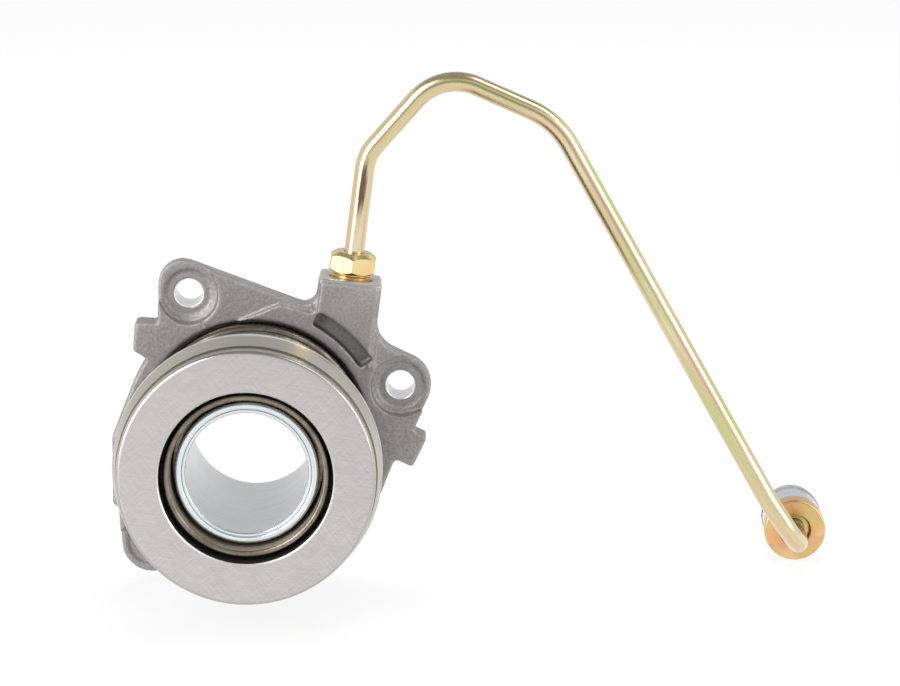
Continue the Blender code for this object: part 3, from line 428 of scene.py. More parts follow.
@dataclass(frozen=True)
class CastFinish(Finish):
    """Raw die casting, machined where a radius or a height says so, with painted shade in its crescent
    pocket.
    """

    skin_shade: float = 0.70
    skin_smoother: float = 0.08
    machined: Colour = (0.52, 0.51, 0.50)
    machined_shade: float = 0.85
    machined_smoother: float = 0.22
    machined_pitch: float = 5200.0
    machined_marks: float = 0.2
    machined_radius: float = 0.0203
    machined_height: float = 0.0004
    # painted light: the bolt holes are bare drilled metal, painted near white and paler than the
    # machined faces, for the light inside them
    drilled_and_lit: Colour = (0.92, 0.92, 0.93)
    drilled_radius: float = 0.0036
    bolt_circle: float = 0.0369
    bolt_angles: tuple[float, ...] = (radians(114.6), radians(17.6), radians(-132.5))
    # painted shade: where the crescent pocket lies, and how much its painted shadow darkens it
    pocket_radii: Point = (0.0298, 0.0340)
    pocket_heights: Point = (0.0090, 0.0137)
    pocket_angles: Point = (radians(30), radians(64))
    pocket_shadow_share: float = 0.36
    pocket_shadow_dark: float = 0.2
    spot_face: float = BOSS_TOP - 0.0006
    depth: float = 0.00011

    def within(self, graph: Graph, value: Socket, ends: Point) -> Socket:
        """1 where a value lies between two ends, otherwise 0."""
        above = graph.math("GREATER_THAN", value, ends[0])
        return graph.times(above, graph.math("LESS_THAN", value, ends[1]))

    def in_holes(self, graph: Graph, x: Socket, z: Socket) -> Socket:
        """1 in the drilled bolt holes, otherwise 0."""
        holes = 0.0
        for turn in self.bolt_angles:
            across = graph.math("SUBTRACT", x, self.bolt_circle * cos(turn))
            over = graph.math("SUBTRACT", z, self.bolt_circle * sin(turn))
            near = graph.math("LESS_THAN", graph.reach(across, over), self.drilled_radius)
            holes = graph.math("MAXIMUM", near, holes)
        return holes

    def dress(self, skin: Skin) -> None:
        """Pebbled skin, with turned metal on the mounting face and in the cylinder, and painted shade in
        the pocket.
        """
        grain = CastGrain.use(skin)
        x, y, z = skin.split(skin.place())
        radius = skin.reach(x, z)
        holes = self.in_holes(skin, x, z)
        up = skin.math("MULTIPLY_ADD", x, sin(BOSS_LEAN), skin.times(z, cos(BOSS_LEAN)))
        cut = skin.math("LESS_THAN", radius, self.machined_radius)
        for place in (
            skin.math("GREATER_THAN", y, -self.machined_height),
            skin.math("GREATER_THAN", up, self.spot_face),
            holes,
        ):
            cut = skin.math("MAXIMUM", cut, place)
        line = TurningMarks.use(skin, Pitch=self.machined_pitch)["Line"]
        raw = skin.blend(grain["Shade"], self.darker(self.skin_shade), self.colour)
        # painted shade: the pocket's floor and walls are darkened to stand in for the shadow in it
        pocket = self.pocket_shadow_share
        for value, ends in (
            (radius, self.pocket_radii),
            (skin.math("ARCTAN2", z, x), self.pocket_angles),
            (skin.times(y, -1.0), self.pocket_heights),
        ):
            pocket = skin.times(self.within(skin, value, ends), pocket)
        raw = skin.blend(pocket, raw, self.darker(self.pocket_shadow_dark))
        bare = skin.blend(line, self.darker(self.machined_shade, self.machined), self.machined)
        # the bolt holes get their near-white painted light
        skin.colour(skin.blend(cut, raw, skin.blend(holes, bare, self.drilled_and_lit)))
        least = skin.math("MULTIPLY_ADD", grain["Shade"], -self.skin_smoother, self.roughness)
        skin.rough(cut, -self.machined_smoother, least)
        height = skin.times(grain["Height"], skin.math("SUBTRACT", 1.0, cut))
        marks = skin.times(skin.times(line, cut), self.machined_marks)
        skin.bump(skin.plus(height, marks), self.depth)


@dataclass(frozen=True)
class TurnedFinish(Finish):
    """Turned or drawn steel, with fine rings round the axis and a thin film."""

    pitch: float = 9000.0
    dark: float = 0.86
    rougher: float = 0.08
    depth: float = 0.000006
    film: Colour = (0.50, 0.47, 0.36)
    film_share: float = 0.0
    # painted highlight: a near-white band round the axis at one height
    painted_highlight: Colour = (0.95, 0.94, 0.90)
    painted_highlight_at: float | None = None
    painted_highlight_width: float = 0.0008

    def dress(self, skin: Skin) -> None:
        """Rings in colour, roughness and height, under a patchy film, with a painted highlight band
        round the axis at one height.
        """
        line = TurningMarks.use(skin, Pitch=self.pitch)["Line"]
        self.shades(skin, skin.spread(line, 0.35, 0.62), self.dark, self.rougher)
        if self.film_share:
            skin.over(skin.times(OilFilm.use(skin)["Film"], self.film_share), self.film)
        # painted highlight: a near-white band stands in for a highlight line
        if self.painted_highlight_at is not None:
            along = skin.math("SUBTRACT", skin.split(skin.place())[1], self.painted_highlight_at)
            away = skin.math("ABSOLUTE", along)
            skin.over(skin.spread(away, self.painted_highlight_width, self.painted_highlight_width / 2), self.painted_highlight)
        skin.bump(line, self.depth)


@dataclass(frozen=True)
class GroundFaceFinish(Finish):
    """The ground face of the release bearing."""

    dark: float = 0.82
    rougher: float = 0.12
    depth: float = 0.000004

    def dress(self, skin: Skin) -> None:
        """Crossing scratches in colour, roughness and height."""
        line = GrindingLines.use(skin)["Line"]
        self.shades(skin, skin.spread(line, 0.38, 0.62), self.dark, self.rougher)
        skin.bump(line, self.depth)


@dataclass(frozen=True)
class OiledFinish(Finish):
    """Bare steel under a brown film of oil."""

    film: Colour = (0.16, 0.12, 0.09)
    rougher: float = 0.12
    pitch: float = 4200.0
    depth: float = 0.00001

    def dress(self, skin: Skin) -> None:
        """The film darkens and dulls the steel in soft blots."""
        film = OilFilm.use(skin)["Film"]
        skin.colour(skin.blend(film, self.colour, self.film))
        skin.rough(film, self.rougher, self.roughness)
        skin.bump(TurningMarks.use(skin, Pitch=self.pitch)["Line"], self.depth)


@dataclass(frozen=True)
class YellowZincFinish(Finish):
    """Yellow chromate on zinc: gold that drifts to pink, green and near white."""

    pink: Colour = (0.86, 0.50, 0.42)
    green: Colour = (0.62, 0.66, 0.30)
    pale: Colour = (0.93, 0.86, 0.66)
    pale_share: float = 0.7
    tint_share: float = 0.85
    stain: Colour = (0.20, 0.12, 0.10)
    mauve: Colour = (0.17, 0.08, 0.10)
    stain_at: Corner | None = None
    stain_reach: Corner = (1.0, 1.0, 1.0)
    stain_edge: Point = (1.55, 1.05)
    route: bool = False
    scale: float = 150.0
    fine: float = 2600.0
    rougher: float = 0.10
    depth: float = 0.000006

    def stained(self, skin: Skin, where: Socket, scale: float) -> None:
        """Lay the stain, read at a vector and scale, over the tints."""
        offset = skin.add("VectorMath", {0: where, 1: self.stain_at}, operation="SUBTRACT").outputs[0]
        inputs = {0: offset, 1: self.stain_reach}
        offset = skin.add("VectorMath", inputs, operation="DIVIDE").outputs[0]
        away = skin.add("VectorMath", {0: offset}, operation="LENGTH").outputs["Value"]
        waver = skin.noise(where, scale * 3.0, 3.0)
        near = skin.spread(skin.plus(away, waver), *self.stain_edge)
        mark = skin.blend(skin.spread(waver, 0.40, 0.60), self.stain, self.mauve)
        skin.over(skin.times(near, self.tint_share), mark)

    def dress(self, skin: Skin) -> None:
        """Tints over the gold, and a dark stain where the pipe was bent by hand."""
        where, scale = skin.place(), self.scale
        if self.route:
            where, scale = skin.add("Attribute", attribute_name="route").outputs["Vector"], 1.0
        tint = ZincBloom.use(skin, Vector=where, Scale=scale)
        skin.colour(skin.blend(skin.times(tint["Pale"], self.pale_share), self.colour, self.pale))
        skin.over(skin.times(tint["Pink"], self.tint_share), self.pink)
        skin.over(skin.times(tint["Green"], self.tint_share), self.green)
        if self.stain_at:
            self.stained(skin, where, scale)
        fine = skin.noise(skin.place(), self.fine, 2.0)
        skin.rough(fine, self.rougher, self.roughness)
        skin.bump(fine, self.depth)


@dataclass(frozen=True)
class MouldedFinish(Finish):
    """Moulded nylon or rubber."""

    metallic: float = 0.0
    dark: float = 0.6
    rougher: float = 0.12
    grain: float = 1800.0
    depth: float = 0.00002

    def dress(self, skin: Skin) -> None:
        """A fine skin with slightly paler scuffs."""
        grain = CastGrain.use(skin, Grain=self.grain)
        self.shades(skin, grain["Shade"], self.dark, self.rougher)
        skin.bump(grain["Height"], self.depth)


CAST = CastFinish("casting", (0.40, 0.388, 0.378), 0.60, metallic=0.75)
GROUND_FACE = GroundFaceFinish("ground_face", (0.61, 0.588, 0.575), 0.34)
RACE_STEEL = TurnedFinish("race_side", (0.45, 0.44, 0.40), 0.31, film=(0.44, 0.41, 0.33), film_share=0.3)
# polished rim: smoother than the race side, and its paler colour is a painted highlight
RIM_POLISH_AND_HIGHLIGHT = TurnedFinish("face_rim_polish_and_highlight", (0.52, 0.51, 0.475), 0.20)
# painted highlight: near-white colour on the bearing face's inner bevel
EDGE_HIGHLIGHT = TurnedFinish("face_edge_highlight", (0.90, 0.89, 0.87), 0.42)
SHELL_STEEL = TurnedFinish(
    "shroud_steel",
    (0.52, 0.50, 0.455),
    0.30,
    pitch=5000.0,
    film=(0.50, 0.455, 0.36),
    film_share=0.3,
    # painted highlight on the shroud's rolled edge
    painted_highlight_at=-0.0508,
)
BALL_STEEL = TurnedFinish("ball_steel", (0.56, 0.55, 0.54), 0.12)
OILED = OiledFinish("oiled_steel_film", (0.33, 0.30, 0.26), 0.24, film=(0.17, 0.15, 0.125))
NECK_STEEL = OiledFinish("neck_steel", (0.30, 0.26, 0.215), 0.30, film=(0.20, 0.17, 0.135))
# painted light: paler than the ring's other steel so that the shaded bore reads lit
NECK_BORE_LIT = OiledFinish("neck_bore_lit", (0.34, 0.30, 0.24), 0.55, metallic=0.3, film=(0.24, 0.20, 0.16))
BRIGHT = TurnedFinish("bright_zinc_skin", (0.77, 0.82, 0.85), 0.18, pitch=3200.0, dark=0.90)
# painted light: paler than the sleeve's zinc outside so that the shaded bore reads lit
BORE_LIT_STEEL = TurnedFinish("sleeve_bore_lit", (0.85, 0.855, 0.865), 0.38, pitch=3200.0, dark=0.93)
YELLOW = YellowZincFinish(
    "yellow_zinc_skin",
    (0.86, 0.62, 0.28),
    0.18,
    pink=(0.88, 0.62, 0.42),
    green=(0.80, 0.70, 0.36),
    pale=(0.96, 0.88, 0.68),
)
FLANGE_YELLOW = YellowZincFinish(
    "flange_zinc_skin",
    (0.80, 0.47, 0.19),
    0.24,
    pink=(0.74, 0.34, 0.27),
    green=(0.60, 0.56, 0.24),
    pale=(0.86, 0.62, 0.34),
    scale=190.0,
)
PIPE_YELLOW = YellowZincFinish(
    "pipe_zinc_skin",
    (0.68, 0.56, 0.33),
    0.17,
    pink=(0.80, 0.50, 0.41),
    green=(0.50, 0.60, 0.23),
    pale=(0.90, 0.82, 0.62),
    route=True,
    stain=(0.055, 0.038, 0.018),
    mauve=(0.10, 0.04, 0.055),
    stain_at=(-1.1, -0.02, 0.93),
    stain_reach=(0.80, 0.46, 0.24),
)
NYLON = MouldedFinish("nylon_skin", (0.010, 0.010, 0.010), 0.50)
RUBBER = MouldedFinish("rubber_skin", (0.028, 0.028, 0.028), 0.62)
GREY = MouldedFinish("grey_seal_skin", (0.33, 0.32, 0.38), 0.55)


def polar(radius: float, angle: float, centre: Point = (0.0, 0.0)) -> Point:
    """The point at a radius and an angle in radians round a centre."""
    return centre[0] + radius * cos(angle), centre[1] + radius * sin(angle)


def arc(centre: Point, radius: float, start: float, end: float, step: float = radians(9)) -> list[Point]:
    """Points on an arc, both ends included.

    Args:
        centre: The arc's centre.
        radius: Its radius.
        start: Where it starts, in radians.
        end: Where it ends, in radians.
        step: The widest angle between points.

    Returns:
        The points in order.
    """
    count = max(2, ceil(abs(end - start) / step)) + 1
    angles = (start + (end - start) * i / (count - 1) for i in range(count))
    return [polar(radius, angle, centre) for angle in angles]


def rounded(corners: Sequence[Corner], closed: bool = True, step: float = radians(15)) -> list[Point]:
    """A line through corners, each made round by its own radius.

    Args:
        corners: Two coordinates and a radius for each corner.
        closed: Whether the line joins up with its start.
        step: The widest angle between points of a rounding.

    Returns:
        The line's points.
    """
    line: list[Point] = []
    for i, (x, z, radius) in enumerate(corners):
        if radius <= 0 or (not closed and i in (0, len(corners) - 1)):
            line.append((x, z))
            continue
        corner = Vector((x, z))
        before = Vector(corners[i - 1][:2]) - corner
        after = Vector(corners[(i + 1) % len(corners)][:2]) - corner
        half = before.angle(after) / 2
        reach = min(radius / tan(half), 0.49 * before.length, 0.49 * after.length)
        radius = reach * tan(half)
        middle = (before.normalized() + after.normalized()).normalized()
        centre = corner + middle * (radius / sin(half))
        first = corner + before.normalized() * reach - centre
        last = corner + after.normalized() * reach - centre
        start = atan2(first.y, first.x)
        turn = (atan2(last.y, last.x) - start + pi) % (2 * pi) - pi
        line += arc(tuple(centre), radius, start, start + turn, step)
    return line


def beside(line: Sequence[Point], distance: float) -> list[Point]:
    """An open line moved sideways.

    Args:
        line: Its points.
        distance: How far to its left it moves.

    Returns:
        The moved points.
    """
    moved = []
    points = [Vector(point) for point in line]
    for i, point in enumerate(points):
        before = (point - points[i - 1]).normalized() if i else None
        after = (points[i + 1] - point).normalized() if i + 1 < len(points) else None
        along = ((before or after) + (after or before)).normalized()
        stretch = along.dot(before or after)
        moved.append(tuple(point + Vector((-along.y, along.x)) * distance / stretch))
    return moved


def new_object(name: str, data: bpy.types.ID) -> bpy.types.Object:
    """A new object that is linked into the scene."""
    made = bpy.data.objects.new(name, data)
    bpy.context.scene.collection.objects.link(made)
    return made


def add_object(name: str, bm: bmesh.types.BMesh, finish: Finish, crease: float = 32) -> bpy.types.Object:
    """Turn a bmesh into an object of the scene.

    Args:
        name: The object's name.
        bm: Its closed mesh, which is freed.
        finish: Its finish.
        crease: Edges sharper than this many degrees stay sharp.

    Returns:
        The object, faces pointing out and round sides smooth.
    """
    bmesh.ops.recalc_face_normals(bm, faces=bm.faces)
    if bm.calc_volume(signed=True) < 0:
        bmesh.ops.reverse_faces(bm, faces=bm.faces)
    mesh = bpy.data.meshes.new(name)
    bm.to_mesh(mesh)
    bm.free()
    mesh.materials.append(finish.make())
    mesh.shade_smooth()
    mesh.set_sharp_from_angle(angle=radians(crease))
    return new_object(name, mesh)


def bridge(bm: bmesh.types.BMesh, rings: Sequence[Sequence[bmesh.types.BMVert]]) -> None:
    """Add the faces between each ring of vertices and the next."""
    for first, second in zip(rings, rings[1:]):
        for i in range(len(first)):
            j = (i + 1) % len(first)
            bm.faces.new((first[i], first[j], second[j], second[i]))


def turned(name: str, profile: Sequence[Point], finish: Finish, steps: int = 180) -> bpy.types.Object:
    """A ring turned about the main axis.

    Args:
        name: The object's name.
        profile: Its closed section, as (radius, height) points in order.
        finish: Its finish.
        steps: How many steps the full turn has.

    Returns:
        The ring.
    """
    bm = bmesh.new()
    rings = []
    for radius, height in profile:
        points = (polar(radius, 2 * pi * i / steps) for i in range(steps))
        rings.append([bm.verts.new((x, -height, z)) for x, z in points])
    bridge(bm, rings + rings[:1])
    return add_object(name, bm, finish)


def tube(
    name: str, route: Sequence[Vector], radius: float, finish: Finish, sides: int = 20
) -> bpy.types.Object:
    """A closed tube along a route, which knows how far along and round each point lies.

    Args:
        name: The object's name.
        route: The centre line's points.
        radius: The tube's radius.
        finish: Its finish.
        sides: How many sides its section has.

    Returns:
        The tube, with the attribute "route" for stretched effects.
    """
    bm = bmesh.new()
    layer = bm.verts.layers.float_vector.new("route")
    rings = []
    travelled = 0.0
    across = Vector((0, 1, 0))
    for i, point in enumerate(route):
        before = (point - route[i - 1]).normalized() if i else (route[1] - point).normalized()
        after = (route[i + 1] - point).normalized() if i + 1 < len(route) else before
        along = (before + after).normalized()
        across = (across - along * across.dot(along)).normalized()
        other = along.cross(across)
        travelled += (point - route[i - 1]).length if i else 0.0
        ring = []
        for j in range(sides):
            c, s = polar(1.0, 2 * pi * j / sides)
            vert = bm.verts.new(point + (across * c + other * s) * radius)
            vert[layer] = (c * 1.1, s * 1.1, travelled * 30.0)
            ring.append(vert)
        rings.append(ring)
    bridge(bm, rings)
    bm.faces.new(rings[0])
    bm.faces.new(rings[-1])
    return add_object(name, bm, finish, 50)


def apply_modifiers(piece: bpy.types.Object) -> None:
    """Give a piece the smooth mesh that its modifiers make."""
    bpy.context.view_layer.update()
    graph = bpy.context.evaluated_depsgraph_get()
    mesh = bpy.data.meshes.new_from_object(piece.evaluated_get(graph))
    piece.modifiers.clear()
    piece.data = mesh
    mesh.shade_smooth()


def paint_faces(piece: bpy.types.Object, finish: Finish, chosen: Callable[[Vector], bool]) -> None:
    """Give another finish to the faces whose centre is chosen."""
    materials = piece.data.materials
    materials.append(finish.make())
    for face in piece.data.polygons:
        if chosen(face.center):
            face.material_index = len(materials) - 1


def finish_piece(piece: bpy.types.Object, body: Body, node: str) -> None:
    """Let a piece ride on its body and stand for a node of the part.

    Args:
        piece: The piece.
        body: What it moves with.
        node: The node that it stands for.
    """
    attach(piece, body.value)
    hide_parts(node)
    LOG.info("%s: %d faces, on %s", piece.name, len(piece.data.polygons), body.value)


def dress_node(node: str, finish: Finish) -> None:
    """Give a node of the part that stays in view its finish."""
    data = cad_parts[node].data
    data.materials.clear()
    data.materials.append(finish.make())
    LOG.info("%s keeps its shape", node)


@dataclass
class Casting:
    """The die-cast housing, its edges as soft as a casting's."""

    voxel: float = 0.00036
    smoothing: int = 3
    kept_faces: float = 0.5

    def build(self) -> None:
        """Remesh a copy of the casting so that every edge gets a small radius, then thin it."""
        bm = bmesh.new()
        bm.from_mesh(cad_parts["housing"].data)
        bmesh.ops.remove_doubles(bm, verts=bm.verts, dist=1e-6)
        piece = add_object("housing_casting", bm, CAST)
        remesh = piece.modifiers.new("skin", "REMESH")
        remesh.mode = "VOXEL"
        remesh.voxel_size = self.voxel
        remesh.use_smooth_shade = True
        soften = piece.modifiers.new("soften", "SMOOTH")
        soften.factor = 0.5
        soften.iterations = self.smoothing
        piece.modifiers.new("thin", "DECIMATE").ratio = self.kept_faces
        apply_modifiers(piece)
        piece.data.materials.clear()
        piece.data.materials.append(CAST.make())
        finish_piece(piece, Body.FIXED, "housing")


@dataclass
class GuideSleeve:
    """The drawn sleeve with its turned-in lip, and the rings on it."""

    wall: float = 0.0010
    front: float = 0.0570
    lip_width: float = 0.00245
    bend: float = 0.0013
    rear: float = -0.0019
    flange_r: float = 0.0204
    groove_front: float = 0.0492
    groove_back: float = 0.0476
    groove_depth: float = 0.0005
    line_width: float = 0.00022
    line_depth: float = 0.00014

    def build(self) -> None:
        """Turn the sleeve, with the fine line that the rolling leaves in its lip."""
        wall, edge = self.wall, self.wall * 0.45
        lip_r = SLEEVE_R - self.lip_width
        bore_r = SLEEVE_R - wall
        line_r = SLEEVE_R - self.bend - self.line_width
        groove_r = SLEEVE_R - self.groove_depth
        section = [
            (self.flange_r, self.rear, 0.0002), (self.flange_r, self.rear + wall, 0.0003),
            (SLEEVE_R, self.rear + wall, 0.0004), (SLEEVE_R, self.groove_back, 0.0),
            (groove_r, self.groove_back, 0.0), (groove_r, self.groove_front, 0.0),
            (SLEEVE_R, self.groove_front, 0.0), (SLEEVE_R, self.front, self.bend),
            (line_r + self.line_width, self.front, 0.0),
            (line_r, self.front - self.line_depth, 0.00006),
            (line_r - self.line_width, self.front, 0.0), (lip_r, self.front, edge),
            (lip_r, self.front - wall, edge), (bore_r, self.front - wall, self.bend - wall),
            (bore_r, self.rear, 0.0009),
        ]
        piece = turned("guide_sleeve_drawn", rounded(section), BRIGHT)
        bore = bore_r + wall / 5
        # the bore gets the paler colour of painted light
        paint_faces(piece, BORE_LIT_STEEL, lambda at: hypot(at.x, at.z) < bore and -at.y < self.front - wall)
        finish_piece(piece, Body.FIXED, "guide_sleeve")
        dress_node("sleeve_seal_ring", RUBBER)
        dress_node("stop_ring", OILED)


@dataclass
class Piston:
    """The sliding piston's own pieces, which the bearing and the spring hide."""

    def build(self) -> None:
        """Dress the nodes, whose shapes stay as they are."""
        for node, finish in (
            ("piston", NYLON), ("piston_seal", RUBBER), ("sleeve_wiper", RUBBER),
            ("seat_retaining_ring", OILED),
        ):
            dress_node(node, finish)


@dataclass
class PreloadSpring:
    """The preload spring and the pressed cup that holds its front coil."""

    low: float = 0.0117
    high: float = 0.0434
    turns: float = 5.5
    end_turns: float = 1.0
    steps: int = 60
    seat_front: float = 0.0457
    seat_wall: float = 0.0008
    seat_skirt: float = 0.0047
    seat_bend: float = 0.0013
    fixed_end: float = 0.0105
    keep: float = 0.648

    def route(self) -> list[Vector]:
        """The wire's centre line: flat end turns, even pitch between them."""
        flat = 2 * WIRE_R + GAP
        free = self.high - self.low - 2 * flat * self.end_turns
        last = self.turns - self.end_turns
        points = []
        for i in range(round(self.turns * self.steps) + 1):
            turn = i / self.steps
            closed = min(turn, self.end_turns) + max(0.0, turn - last)
            rising = min(max(turn - self.end_turns, 0.0), last - self.end_turns)
            height = self.low + flat * closed + free * rising / (last - self.end_turns)
            x, z = polar(SPRING_R, 2 * pi * turn)
            points.append(Vector((x, -height, z)))
        return points

    def build(self) -> None:
        """Wind the spring and press its cup."""
        coil = tube("preload_spring_wound", self.route(), WIRE_R, OILED, 14)
        finish_piece(coil, Body.FIXED, "preload_spring")
        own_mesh(coil)
        skirt_r = SPRING_R + WIRE_R + GAP + self.seat_wall
        foot = self.seat_front - self.seat_wall - self.seat_skirt
        corners = [(NOSE_R + GAP, self.seat_front, 0), (skirt_r, self.seat_front, self.seat_bend)]
        outer = rounded([*corners, (skirt_r, foot, 0)], closed=False, step=radians(9))
        section = outer + beside(outer, -self.seat_wall)[::-1]
        cup = turned("spring_seat_pressed", section, SHELL_STEEL)
        finish_piece(cup, Body.CARRIER, "spring_seat")


@dataclass
class ReleaseBearing:
    """The release bearing; a distance is measured back from its face."""

    face: float = 0.0630
    face_inner_r: float = 0.0202
    face_outer_r: float = 0.02905
    face_radius: float = 0.00095
    edge: float = 0.00035
    band: float = 0.0036
    groove: float = 0.00065
    ball_r: float = 0.0031
    ball_count: int = 18
    circle_r: float = 0.0249
    ball_behind: float = 0.0116
    track_r: float = 0.0034
    race_r: float = 0.0304
    race_shoulder: float = 0.0103
    race_rear: float = 0.0145
    shroud_wall: float = 0.0007
    shroud_inner_r: float = 0.0269
    neck_r: float = 0.01775
    neck_wall: float = 0.00135
    neck_behind: float = 0.0027
    inner_rear: float = 0.0170
    inner_flange_r: float = 0.0262
    recess_r: float = 0.0194
    recess_start: float = 0.0136
    cage_front: float = 0.0082
    cage_room: float = 0.0020
    shoulder_room: float = 0.0008
    track_lip: float = 0.0009
    track_rise: float = 0.0010

    def from_face(self, points: Sequence[Point]) -> list[Point]:
        """Turn (radius, distance behind the face) into (radius, height)."""
        return [(radius, self.face - behind) for radius, behind in points]

    def track(self, start: float, end: float) -> list[Point]:
        """The ball track's arc between two angles in degrees."""
        centre = (self.circle_r, self.ball_behind)
        return arc(centre, self.track_r, radians(start), radians(end))

    def race_side(self, step: float = radians(9)) -> list[Point]:
        """The turning ring's side, from behind its face band round to its rear."""
        neck_r = self.face_outer_r + self.face_radius - self.groove
        corners = [
            (neck_r, self.band + 2 * self.groove, 0), (self.race_r, self.race_shoulder, 0.0012),
            (self.race_r, self.race_rear, 0.0016),
            (self.circle_r + self.track_r + GAP, self.race_rear, 0),
        ]
        return rounded(corners, closed=False, step=step)

    def build_outer_ring(self) -> None:
        """The turning ring: a ground face within a rounded rim, with its own finish."""
        front_r = self.face_outer_r + self.face_radius
        shoulder = self.face_inner_r + self.face_radius * 1.5
        edge_r = self.face_inner_r + self.edge
        rim = arc((self.face_outer_r, self.face_radius), self.face_radius, -pi / 2, 0)
        race = self.race_side()
        corners = [
            (*rim[-1], 0), (front_r, self.band, 0.0002),
            (front_r - self.groove, self.band + self.groove, 0.0002), (*race[0], 0),
        ]
        profile = [
            (self.face_inner_r, self.edge), (edge_r, 0),
            *rim,
            *rounded(corners, closed=False)[1:],
            *race[1:],
            *self.track(10, -98),
            (shoulder, self.cage_front - self.shoulder_room),
            (self.face_inner_r, self.cage_front - self.cage_room),
        ]
        piece = turned("outer_ring_turned", self.from_face(profile), RACE_STEEL)
        flat = GAP / 10 - self.face
        bevel = self.edge - self.face
        paint_faces(piece, GROUND_FACE, lambda at: at.y < flat)
        # the rounded rim gets its polish and painted highlight
        paint_faces(piece, RIM_POLISH_AND_HIGHLIGHT, lambda at: flat <= at.y < self.face_radius - self.face)
        # the inner bevel gets the painted highlight
        paint_faces(piece, EDGE_HIGHLIGHT, lambda at: flat <= at.y < bevel and hypot(at.x, at.z) < edge_r)
        finish_piece(piece, Body.ROTOR, "bearing_outer_ring")

    def build_shroud(self) -> None:
        """The pressed shell round the ring's rear: its rolled edge is the widest part."""
        side = self.race_side()
        side[-1] = (self.shroud_inner_r, self.race_rear)
        inner = beside(side, -GAP)
        outer = beside(side, -GAP - self.shroud_wall)
        section = self.from_face(inner + outer[::-1])
        piece = turned("shroud_pressed", section, SHELL_STEEL)
        finish_piece(piece, Body.ROTOR, "bearing_shroud")

    def build_inner_ring(self) -> None:
        """The ring that stands still: a neck round the sleeve, a flange behind the balls."""
        outer = self.neck_r + self.neck_wall
        rear = self.inner_rear
        neck = [
            (self.neck_r, self.recess_start - self.track_rise, 0),
            (self.neck_r, self.neck_behind, 0.0008), (outer, self.neck_behind, 0.0005),
            (outer, self.cage_front + self.cage_room, 0.0006),
            (self.circle_r - self.track_r - self.track_lip, self.ball_behind - self.track_rise, 0),
        ]
        back = [
            (self.inner_flange_r, self.ball_behind + self.track_r + 0.0001, 0.0002),
            (self.inner_flange_r, rear, 0.0004), (self.recess_r, rear, 0.0003),
            (self.recess_r, self.recess_start, 0.0),
        ]
        profile = rounded(neck, closed=False) + self.track(190, 85)
        profile += rounded([(*profile[-1], 0), *back], closed=False)[1:]
        piece = turned("inner_ring_turned", self.from_face(profile), NECK_STEEL)
        # the bore gets the paler colour of painted light
        paint_faces(piece, NECK_BORE_LIT, lambda at: hypot(at.x, at.z) < self.neck_r + GAP / 10)
        finish_piece(piece, Body.CARRIER, "bearing_inner_ring")

    def build_balls(self) -> None:
        """The balls, one round mesh for all of them."""
        bm = bmesh.new()
        bmesh.ops.create_uvsphere(bm, u_segments=24, v_segments=16, radius=self.ball_r)
        first = add_object("ball_01_ground", bm, BALL_STEEL, 60)
        for i in range(self.ball_count):
            x, z = polar(self.circle_r, -2 * pi * i / self.ball_count)
            node = f"ball_{i + 1:02d}"
            piece = new_object(f"{node}_ground", first.data) if i else first
            piece.location = (x, self.ball_behind - self.face, z)
            finish_piece(piece, Body.CAGE, node)

    def build(self) -> None:
        """Build the rings and the balls, and dress the cage."""
        self.build_outer_ring()
        self.build_shroud()
        self.build_inner_ring()
        self.build_balls()
        dress_node("cage", NYLON)


@dataclass
class PressurePipe:
    """The bent steel pipe; its bends are (x, z, bend radius) in the plane of the port."""

    rise: float = 0.0295
    first_bend: float = 0.0100
    bends: tuple[Corner, ...] = (
        (0.0451, 0.08658, 0.0125), (0.0722, 0.0745, 0.0200), (0.1240, -0.0184, 0.0120),
    )
    end: Point = (0.1318, -0.0303)
    elbow: float = 0.0075
    end_y: float = 0.0164
    start: float = 0.0306
    bend_step: float = radians(4)

    def in_port(self, up: float) -> Vector:
        """A point on the port's axis."""
        x = PORT_OFFSET * cos(BOSS_LEAN) + up * sin(BOSS_LEAN)
        z = -PORT_OFFSET * sin(BOSS_LEAN) + up * cos(BOSS_LEAN)
        return Vector((x, -PORT_HEIGHT, z))

    def corners(self) -> list[tuple[Vector, float]]:
        """The corners of the pipe's line, with their bend radii."""
        low = Vector((self.end[0], -PORT_HEIGHT, self.end[1]))
        made = [(self.in_port(self.start), 0.0), (self.in_port(BOSS_TOP + self.rise), self.first_bend)]
        made += [(Vector((x, -PORT_HEIGHT, z)), radius) for x, z, radius in self.bends]
        made += [(low, self.elbow), (Vector((low.x, self.end_y, low.z)), 0.0)]
        return made

    def route(self) -> list[Vector]:
        """Straight runs joined by arcs."""
        corners = self.corners()
        route = [corners[0][0]]
        for i in range(1, len(corners) - 1):
            corner, radius = corners[i]
            before = (corners[i - 1][0] - corner).normalized()
            after = (corners[i + 1][0] - corner).normalized()
            half = before.angle(after) / 2
            turn = pi - 2 * half
            centre = corner + (before + after).normalized() * (radius / sin(half))
            first = corner + before * (radius / tan(half)) - centre
            axis = before.cross(after).normalized()
            steps = max(2, ceil(turn / self.bend_step))
            for j in range(steps + 1):
                route.append(centre + Matrix.Rotation(-turn * j / steps, 3, axis) @ first)
        route.append(corners[-1][0])
        return route

    def build(self) -> None:
        """Run the pipe along its route."""
        piece = tube("hydraulic_pipe_bent", self.route(), PIPE_R, PIPE_YELLOW, 28)
        finish_piece(piece, Body.FIXED, "hydraulic_pipe")


